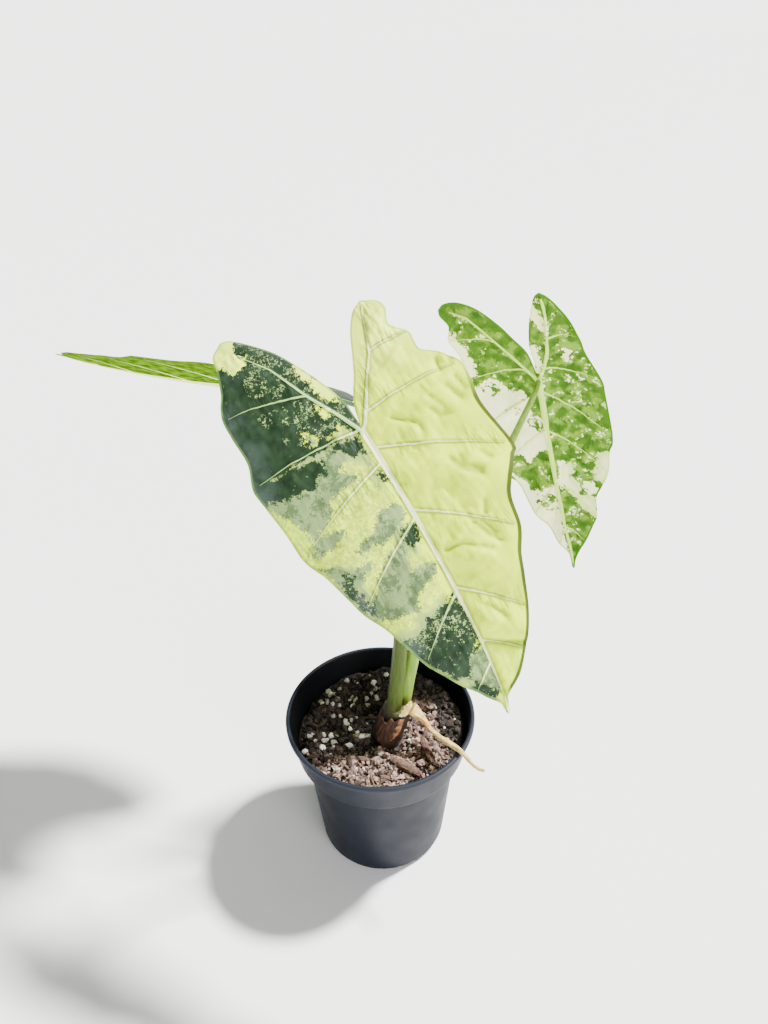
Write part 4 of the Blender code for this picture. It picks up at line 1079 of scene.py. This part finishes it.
def distance_to_line(places, corners, half_widths):
    """How far inside a line of tapering width each place is, in mm: the half width at the nearest
    point of each stretch less the distance to it, and the greatest of these."""
    corners = np.asarray(corners, float)
    widths = np.linspace(*half_widths, len(corners))
    most = np.full(len(places), -50.0)
    for a, b, wide, narrow in zip(corners, corners[1:], widths, widths[1:]):
        way = b - a
        t = np.clip((places - a) @ way / max(way @ way, 1e-9), 0, 1)
        off = np.linalg.norm(places - a - t[:, None] * way, axis=1)
        most = np.maximum(most, wide + (narrow - wide) * t - off)
    return most


def folded(places):
    """How deep in a fold each flat place is, from 0 to 1.3: the sum over the folds of a bell
    exp(-(off / width)^2) of the distance off to the fold's line."""
    offs = [distance_to_line(places, corners, (0.0, 0.0)) for corners in FRONT_RIGHT_FOLDS]
    return np.clip(sum(np.exp(-((off / FOLD_WIDTH) ** 2)) for off in offs), 0, 1.3)


def inside_veins(places, lines, scale):
    """How far inside the nearest vein each place is, with the veins' half widths times scale."""
    inside = [distance_to_line(places, line, scale * np.array(wide)) for line, wide in lines]
    return np.max(inside, axis=0)


def inside_patch(places, corners):
    """Signed distance to the outline of a patch, in mm, positive inside."""
    corners = np.asarray(corners, float)
    off = -distance_to_line(places, np.concatenate([corners, corners[:1]]), (0.0, 0.0))
    within = np.zeros(len(places), bool)
    for a, b in zip(corners, np.roll(corners, -1, axis=0)):
        crosses = (a[1] > places[:, 1]) != (b[1] > places[:, 1])
        if a[1] != b[1]:
            at = (b[0] - a[0]) * (places[:, 1] - a[1]) / (b[1] - a[1]) + a[0]
            within ^= crosses & (places[:, 0] < at)
    return np.where(within, off, -off)


def patched(flat, ground):
    """Distances inside green and grey, and fleck shares, at flat places. Each patch lies over those
    before it: a grey one ends the green at its outline, and a cream one ends both."""
    start, fleck_share, patches = ground
    green = np.full(len(flat), start)
    grey = np.full(len(flat), -9.0)
    fleck = np.full(len(flat), fleck_share)
    for kind, share, corners in patches:
        inside = inside_patch(flat, corners)
        if kind == "green":
            green = np.maximum(green, inside)
        elif kind == "grey":
            green = np.minimum(green, -inside)
            grey = np.maximum(grey, inside)
        else:
            green = np.minimum(green, -inside)
            grey = np.minimum(grey, -inside)
        fleck = np.where(inside > 0, share, fleck)
    return green, grey, fleck


def blade_sheets(leaf, grounds):
    """Welded middle surface of a blade, a row for each point, and its faces. A row holds the place
    in space, the flat place, the rib's depth below, the distance to the margin, the distances
    inside veins, green and grey, the fleck share, the fold's dip, and the distance inside the
    veins as they show on the underside."""
    across = np.linspace(0, 1, COLUMNS) ** 1.3
    both = [v for half in leaf["halves"] for v in half["veins"] if v > 0]
    ridge = np.unique(np.round([*np.linspace(0, leaf["length"], MIDRIB_ROWS), *both], 3))
    sheets, skins, count = [], [], 0
    for number, half in enumerate(leaf["halves"]):
        back = [v for v in half["veins"] if v < 0]
        lobe = np.unique(np.round([*np.linspace(half["outer"][0][0], 0, LOBE_ROWS), *back], 3))
        rows = np.concatenate([lobe, ridge[1:]])
        spine = main_vein(leaf, half, rows)
        side_veins = [
            flat_sheet(leaf, half, "outer", np.array([rows[0], v]), np.linspace(0, 0.93, 16))[0][1]
            for v in half["veins"][1:-1]
        ]
        lines = [(line, VEIN_HALF_WIDTH) for line in side_veins]
        lines.append((spine[: len(lobe)][::-1], COSTA_HALF_WIDTH))
        lines.append((spine[len(lobe) - 1 :], MIDRIB_HALF_WIDTH))
        for edge, s in (("outer", rows), ("inner", lobe)):
            flat, off, margin = flat_sheet(leaf, half, edge, s, across)
            lift = leaf["puffed"] * relief(half, flat, s, across) if edge == "outer" else 0.0 * off
            places = flat.reshape(-1, 2)
            vein, under_vein = (inside_veins(places, lines, n) for n in (1.0, leaf["ribbed"]))
            green, grey, fleck = patched(places, grounds[number])
            dip = folded(places) if half is FRONT_RIGHT else 0 * fleck
            far = np.abs(s)[:, None] / leaf["length"]
            depth = RIB_HEIGHT * np.clip(1 - far, 0.1, 1) * np.exp(-((off / RIB_WIDTH) ** 2))
            points = place_leaf(leaf, flat[..., 0], flat[..., 1], lift).reshape(-1, 3)
            marks = (depth.ravel(), margin.ravel(), vein, green, grey, fleck, dip, under_vein)
            sheets.append(np.column_stack([points, places, *marks]))
            skin = grid_faces(len(s), COLUMNS)[1]
            if (edge == "outer") == (number == 1):
                skin = skin[:, ::-1]
            skins.append(skin + count)
            count += len(sheets[-1])
    sheets, skin = np.concatenate(sheets), np.concatenate(skins)
    welded = np.round(sheets[:, :3], 3)
    _, first, same = np.unique(welded, axis=0, return_index=True, return_inverse=True)
    return sheets[first], same.ravel()[skin]


def triangles(skin):
    """Two triangles for each four-sided face, without those that a weld has brought to a line."""
    halves = np.concatenate([skin[:, [0, 1, 2]], skin[:, [0, 2, 3]]])
    a, b, c = halves.T
    return halves[(a != b) & (b != c) & (c != a)]


def thick_blade(leaf, sheets, skin):
    """Points of the upper and the under face, and the faces of the upper, under and rim. The
    sheet thins to three fifths within 4 mm of its margin."""
    mid, depth, margin = sheets[:, :3], sheets[:, 5], sheets[:, 6]
    skin = triangles(skin)
    a, b, c = (mid[skin[:, i]] for i in range(3))
    facing = np.cross(b - a, c - a)
    normals = np.zeros_like(mid)
    for i in range(3):
        np.add.at(normals, skin[:, i], facing)
    normals /= np.maximum(np.linalg.norm(normals, axis=1), 1e-9)[:, None]
    if (normals @ np.array(leaf["faces"])).mean() < 0:
        normals, skin = -normals, skin[:, ::-1]
    half = BLADE_THICKNESS / 2 * (0.6 + 0.4 * np.clip(margin / 4, 0, 1))
    upper = mid + normals * half[:, None]
    under = mid - normals * (half + depth)[:, None]
    edges = np.concatenate([skin[:, [0, 1]], skin[:, [1, 2]], skin[:, [2, 0]]])
    number = len(mid)
    forward, backward = edges @ (number, 1), edges @ (1, number)
    open_edge = edges[~np.isin(forward, backward)]
    rim = np.column_stack([open_edge[:, ::-1], open_edge + number])
    return np.concatenate([upper, under]), skin, skin[:, ::-1] + number, rim


def cells(tree, place, scale):
    """Two random values, each the same all over a cell, in angular cells of about 1 / scale."""
    found = node(tree, "TexVoronoi", {"Vector": place, "Scale": scale}).outputs["Color"]
    apart = node(tree, "SeparateColor", {0: found})
    return apart.outputs[0], apart.outputs[1]


def leaf_finish(
    name, dark, deep, sheen, grey, cream, pale, shadow, wash, vein, spine, margin, spots,
    mottle, grain, rolled, **constants
):
    """Finish of one face of a blade. The outlines of the green and grey patches are pushed in and
    out by clouds and by angular cells, so that they turn ragged. Inside green, cells whose random
    value is under the fleck share are grey, with a core in the colour of spots, and clouds of the
    deeper grey lie by the share of mottle. Inside grey, a cloud and the cells choose between two
    crisp tones. The margin's own colour reaches further in by rolled, in millimetres, on the right
    half. Veins have a colour on bare ground and one on green, and the midrib's middle has spine."""
    made, tree, shader = new_finish(name, **constants)
    flat = mark_named(tree, "flat", "Vector")
    along, across = part_of(tree, flat, "X"), part_of(tree, flat, "Y")
    green, grey_inside, rib, edge, share, dip = (
        mark_named(tree, key) for key in ("green", "grey", "rib", "margin", "fleck", "dip")
    )
    stirred = node(tree, "TexNoise", {"Vector": flat, "Scale": 0.9, "Detail": 3.0}).outputs["Color"]
    stirred = vector_math(tree, "SUBTRACT", {0: stirred, 1: (0.5, 0.5, 0.5)})
    stirred = vector_math(tree, "SCALE", {0: stirred, 3: 2.6})
    place = vector_math(tree, "ADD", {0: flat, 1: stirred})
    fine, other = cells(tree, place, grain)
    broad, third = cells(tree, place, grain * 0.37)

    rough = clouded(tree, flat, 0.3, 2.0, 0.25, 0.75, -1.6, 1.6)
    jagged = summed(tree, *(span(tree, value, 0.0, 1.0, -0.7, 0.7) for value in (fine, broad)))
    is_green = span(tree, summed(tree, green, summed(tree, rough, jagged)), -0.05, 0.05)
    is_grey = span(tree, summed(tree, grey_inside, jagged), -0.05, 0.15)

    cluster = clouded(tree, flat, 0.15, 3.0, 0.34, 0.66, 0.2, 2.1)
    value = summed(tree, times(tree, fine, 0.55), times(tree, broad, 0.45))
    under_share = summed(tree, times(tree, cluster, share), value, "SUBTRACT")
    is_fleck = span(tree, under_share, -0.01, 0.02)
    is_core = span(tree, under_share, 0.05, 0.07)

    ground = mixed(tree, clouded(tree, flat, 0.06, 3.0, 0.35, 0.65), *cream)
    ground = mixed(tree, span(tree, along, -8.0, -34.0), ground, pale)
    left_half = span(tree, across, -1.0, -4.0)
    patchy = span(tree, summed(tree, broad, cloud(tree, flat, 0.3, 4.0)), 0.7, 1.15, 0.0, 0.75)
    washed = times(tree, span(tree, along, -2.0, 6.0), left_half, patchy)
    ground = mixed(tree, washed, ground, wash)
    beside = times(tree, span(tree, green, -4.5, -1.5), left_half, span(tree, along, -8.0, -2.0))
    ground = mixed(tree, beside, ground, mixed(tree, 0.6, wash, grey[0]))
    by_rib = span(tree, rib, -1.3, -0.15, 0.0, 0.75)
    in_fold = span(tree, dip, 0.25, 1.0, 0.0, 0.5)
    ground = mixed(tree, summed(tree, by_rib, in_fold, "MAXIMUM"), ground, shadow)

    depth = summed(tree, times(tree, other, 0.1), times(tree, third, 0.16))
    depth = summed(tree, depth, cloud(tree, flat, 0.13, 6.0))
    greyed = mixed(tree, span(tree, depth, 0.62, 0.68), *grey)
    greyed = mixed(tree, clouded(tree, flat, 2.2, 4.0, 0.35, 0.65, 0.0, 0.35), greyed, grey[1])

    leafy = mixed(tree, clouded(tree, flat, 0.2, 4.0, 0.38, 0.64), dark, deep)
    # Painted sheen: near the margin of the left half, clouds of a grey-blue sheen colour lie over
    # the green.
    near_edge = span(tree, edge, 1.0, 13.0, 0.6, 0.0)
    far_left = span(tree, across, -12.0, -26.0)
    painted_sheen = times(tree, near_edge, clouded(tree, flat, 0.08, 3.0, 0.36, 0.6), far_left)
    leafy = mixed(tree, painted_sheen, leafy, sheen)
    mottling = times(tree, clouded(tree, place, 0.15, 5.0, 0.47, 0.58), mottle)
    leafy = mixed(tree, mottling, leafy, grey[1])
    leafy = mixed(tree, is_fleck, leafy, mixed(tree, is_core, grey[0], spots))

    colour = mixed(tree, is_green, mixed(tree, is_grey, ground, greyed), leafy)
    right_half = times(tree, span(tree, along, -4.0, 10.0), span(tree, across, 0.0, 4.0))
    turned_in = times(tree, right_half, span(tree, along, 60.0, 100.0, rolled, 0.3 * rolled))
    within = summed(tree, edge, turned_in, "SUBTRACT")
    rim = mixed(tree, right_half, mixed(tree, 0.5, ground, shadow), margin[0])
    rim = mixed(tree, is_green, rim, margin[1])
    colour = mixed(tree, span(tree, within, 1.25, 0.8), colour, rim)
    bare = mixed(tree, span(tree, rib, 0.25, 0.6), vein[0], spine)
    veined = mixed(tree, is_green, bare, vein[1])
    painted(tree, shader, mixed(tree, span(tree, rib, -0.14, 0.1), colour, veined))

    ridge = span(tree, rib, -0.7, 0.35, 0.0, 2.4)
    lines = cloud(tree, mark_named(tree, "weave", "Vector"), 1.0)
    uneven = summed(tree, cloud(tree, flat, 1.7, 4.0), lines)
    puckers = clouded(tree, stretched(tree, flat, 0.1, 0.3, 1.0), 1.0, 2.0, 0.3, 0.7, 0.0, 6.0)
    here = clouded(tree, flat, 0.06, 1.0, 0.42, 0.6, 0.1, 1.0)
    puckers = times(tree, puckers, span(tree, rib, -8.0, -1.0), here)
    roughened(tree, shader, summed(tree, summed(tree, uneven, ridge), puckers), 0.17)
    return made


# Of grey and cream the second is the deeper; of vein and margin the first lies on bare ground
upper_tones = dict(
    dark=tone(38, 57, 37), deep=tone(28, 44, 28), sheen=tone(78, 92, 86),
    grey=(tone(128, 152, 96), tone(84, 106, 66)),
    cream=(tone(230, 255, 36), tone(200, 234, 16)), pale=tone(226, 252, 90),
    shadow=tone(112, 140, 20), wash=tone(158, 182, 84),
    vein=(tone(232, 248, 156), tone(160, 200, 116)), spine=tone(238, 248, 196),
    margin=(tone(72, 88, 16), tone(86, 120, 62)), spots=tone(148, 172, 104),
    mottle=0.0, grain=2.4, rolled=0.7, Roughness=0.55, IOR=1.25,
)
under_tones = dict(
    dark=tone(78, 116, 38), deep=tone(56, 90, 34), sheen=tone(78, 116, 38),
    grey=(tone(176, 214, 92), tone(152, 194, 66)),
    cream=(tone(252, 255, 210), tone(246, 253, 176)), pale=tone(250, 255, 180),
    shadow=tone(206, 228, 120), wash=tone(246, 253, 186),
    vein=(tone(240, 250, 150), tone(190, 226, 100)), spine=tone(240, 250, 150),
    margin=(tone(190, 220, 90), tone(66, 116, 20)), spots=tone(246, 253, 186),
    mottle=0.45, grain=0.85, rolled=0.0, Roughness=0.6, Specular_IOR_Level=0.0,
)
# The left leaf's underside is mostly brighter, painted light that stands in for light shining
# through it, and it has no mottling
lit_through_tones = under_tones | dict(
    dark=tone(98, 136, 30), deep=tone(50, 80, 14), sheen=tone(98, 136, 30),
    vein=(tone(250, 255, 190), tone(236, 252, 160)), spine=tone(250, 255, 190),
    margin=(tone(190, 220, 90), tone(88, 120, 30)), mottle=0.0,
)
for name, leaf in LEAVES.items():
    below = lit_through_tones if name == "left" else under_tones
    upper_finish = leaf_finish(f"{name}_blade_upper", **upper_tones)
    under_finish = leaf_finish(f"{name}_blade_under", **below)
    sheets, skin = blade_sheets(leaf, GROUNDS[name])
    points, upper, under, rim = thick_blade(leaf, sheets, skin)
    u, v, _, margin, _, green, grey, fleck, dip, _ = np.concatenate([sheets, sheets])[:, 3:].T
    rib = np.concatenate([sheets[:, 7], sheets[:, 12]])
    flat = np.column_stack([u, v, 0 * u])
    weave = np.column_stack([u * 0.5, v * 0.06, 0 * u])
    blade = shape(
        f"leaf_{name}",
        points,
        [(upper, upper_finish), (under, under_finish), (rim, under_finish)],
        flat=flat, weave=weave, margin=margin, rib=rib, green=green, grey=grey, fleck=fleck, dip=dip,
    )
    placed(blade, f"blade_{name}")


# Leaf stalks
# Round, solid, smooth green stalks rise from the stem, taper, and end square to the underside of
# their blades. They are finely streaked along their length, and browner at the foot.
STALKS = {
    "front": {
        "route": ((6.9, -8.0, 92.4), (8.0, -6.6, 104.0), (10.4, -4.0, 125.0), (12.0, -2.0, 145.0),
                  (13.0, 1.6, 175.0), (11.0, 5.0, 208.0), (5.5, 5.0, 237.0)),
        "radii": (4.1, 1.7), "pale": (71, 87, 34), "full": (57, 71, 27),
    },
    "right": {
        "route": ((12.6, -2.2, 92.4), (13.6, -1.7, 104.0), (16.9, -0.4, 125.0), (21.6, 2.6, 145.0),
                  (40.0, 18.0, 180.0), (57.0, 32.0, 213.0), (71.0, 43.7, 240.0)),
        "radii": (3.9, 1.3), "pale": (124, 156, 60), "full": (102, 130, 46),
    },
    "left": {
        "route": ((6.5, 0.9, 92.4), (7.2, 2.4, 104.0), (9.4, 5.0, 125.0), (10.6, 7.6, 145.0),
                  (6.5, 14.0, 176.0), (-9.0, 25.0, 203.0), (-33.0, 40.0, 225.0)),
        "radii": (2.7, 1.3), "pale": (70, 86, 34), "full": (54, 68, 24),
    },
}
STALK_STEPS = 240
STALK_SIDES = 48
STALK_RUN_OUT = 9.0
STALK_TAPER = 1.15
STALK_GAP = 0.3
STALK_BROWN = tone(65, 52, 32)
STALK_FADE = (100.0, 109.0)

for name, stalk in STALKS.items():
    stalk_finish = upright_finish(
        f"stalk_{name}", 0.04, (900.0, 4.0), 400.0, STALK_FADE, (STALK_BROWN, STALK_BROWN),
        (tone(*stalk["full"]), tone(*stalk["pale"])), (1200.0, 3.0, 0.1), Roughness=0.55, IOR=1.3,
    )
    up = np.array(LEAVES[name]["faces"]) / np.linalg.norm(LEAVES[name]["faces"])
    end = np.array(LEAVES[name]["sinus"]) - up * (BLADE_THICKNESS / 2 + RIB_HEIGHT + STALK_GAP)
    route = [*stalk["route"], tuple(end - up * STALK_RUN_OUT), tuple(end)]
    centres = curve_through(route, STALK_STEPS)
    foot, top = stalk["radii"]
    radii = foot + (top - foot) * np.linspace(0, 1, STALK_STEPS)[:, None] ** STALK_TAPER
    rings = carried(centres, radii + np.zeros(STALK_SIDES), STALK_SIDES, np.array([1.0, 0.0, 0.0]))
    rings[-1] -= ((rings[-1] - end) @ up)[:, None] * up
    piece = solid(f"stalk_{name}", rings, stalk_finish)
    placed(piece, f"petiole_{name}")
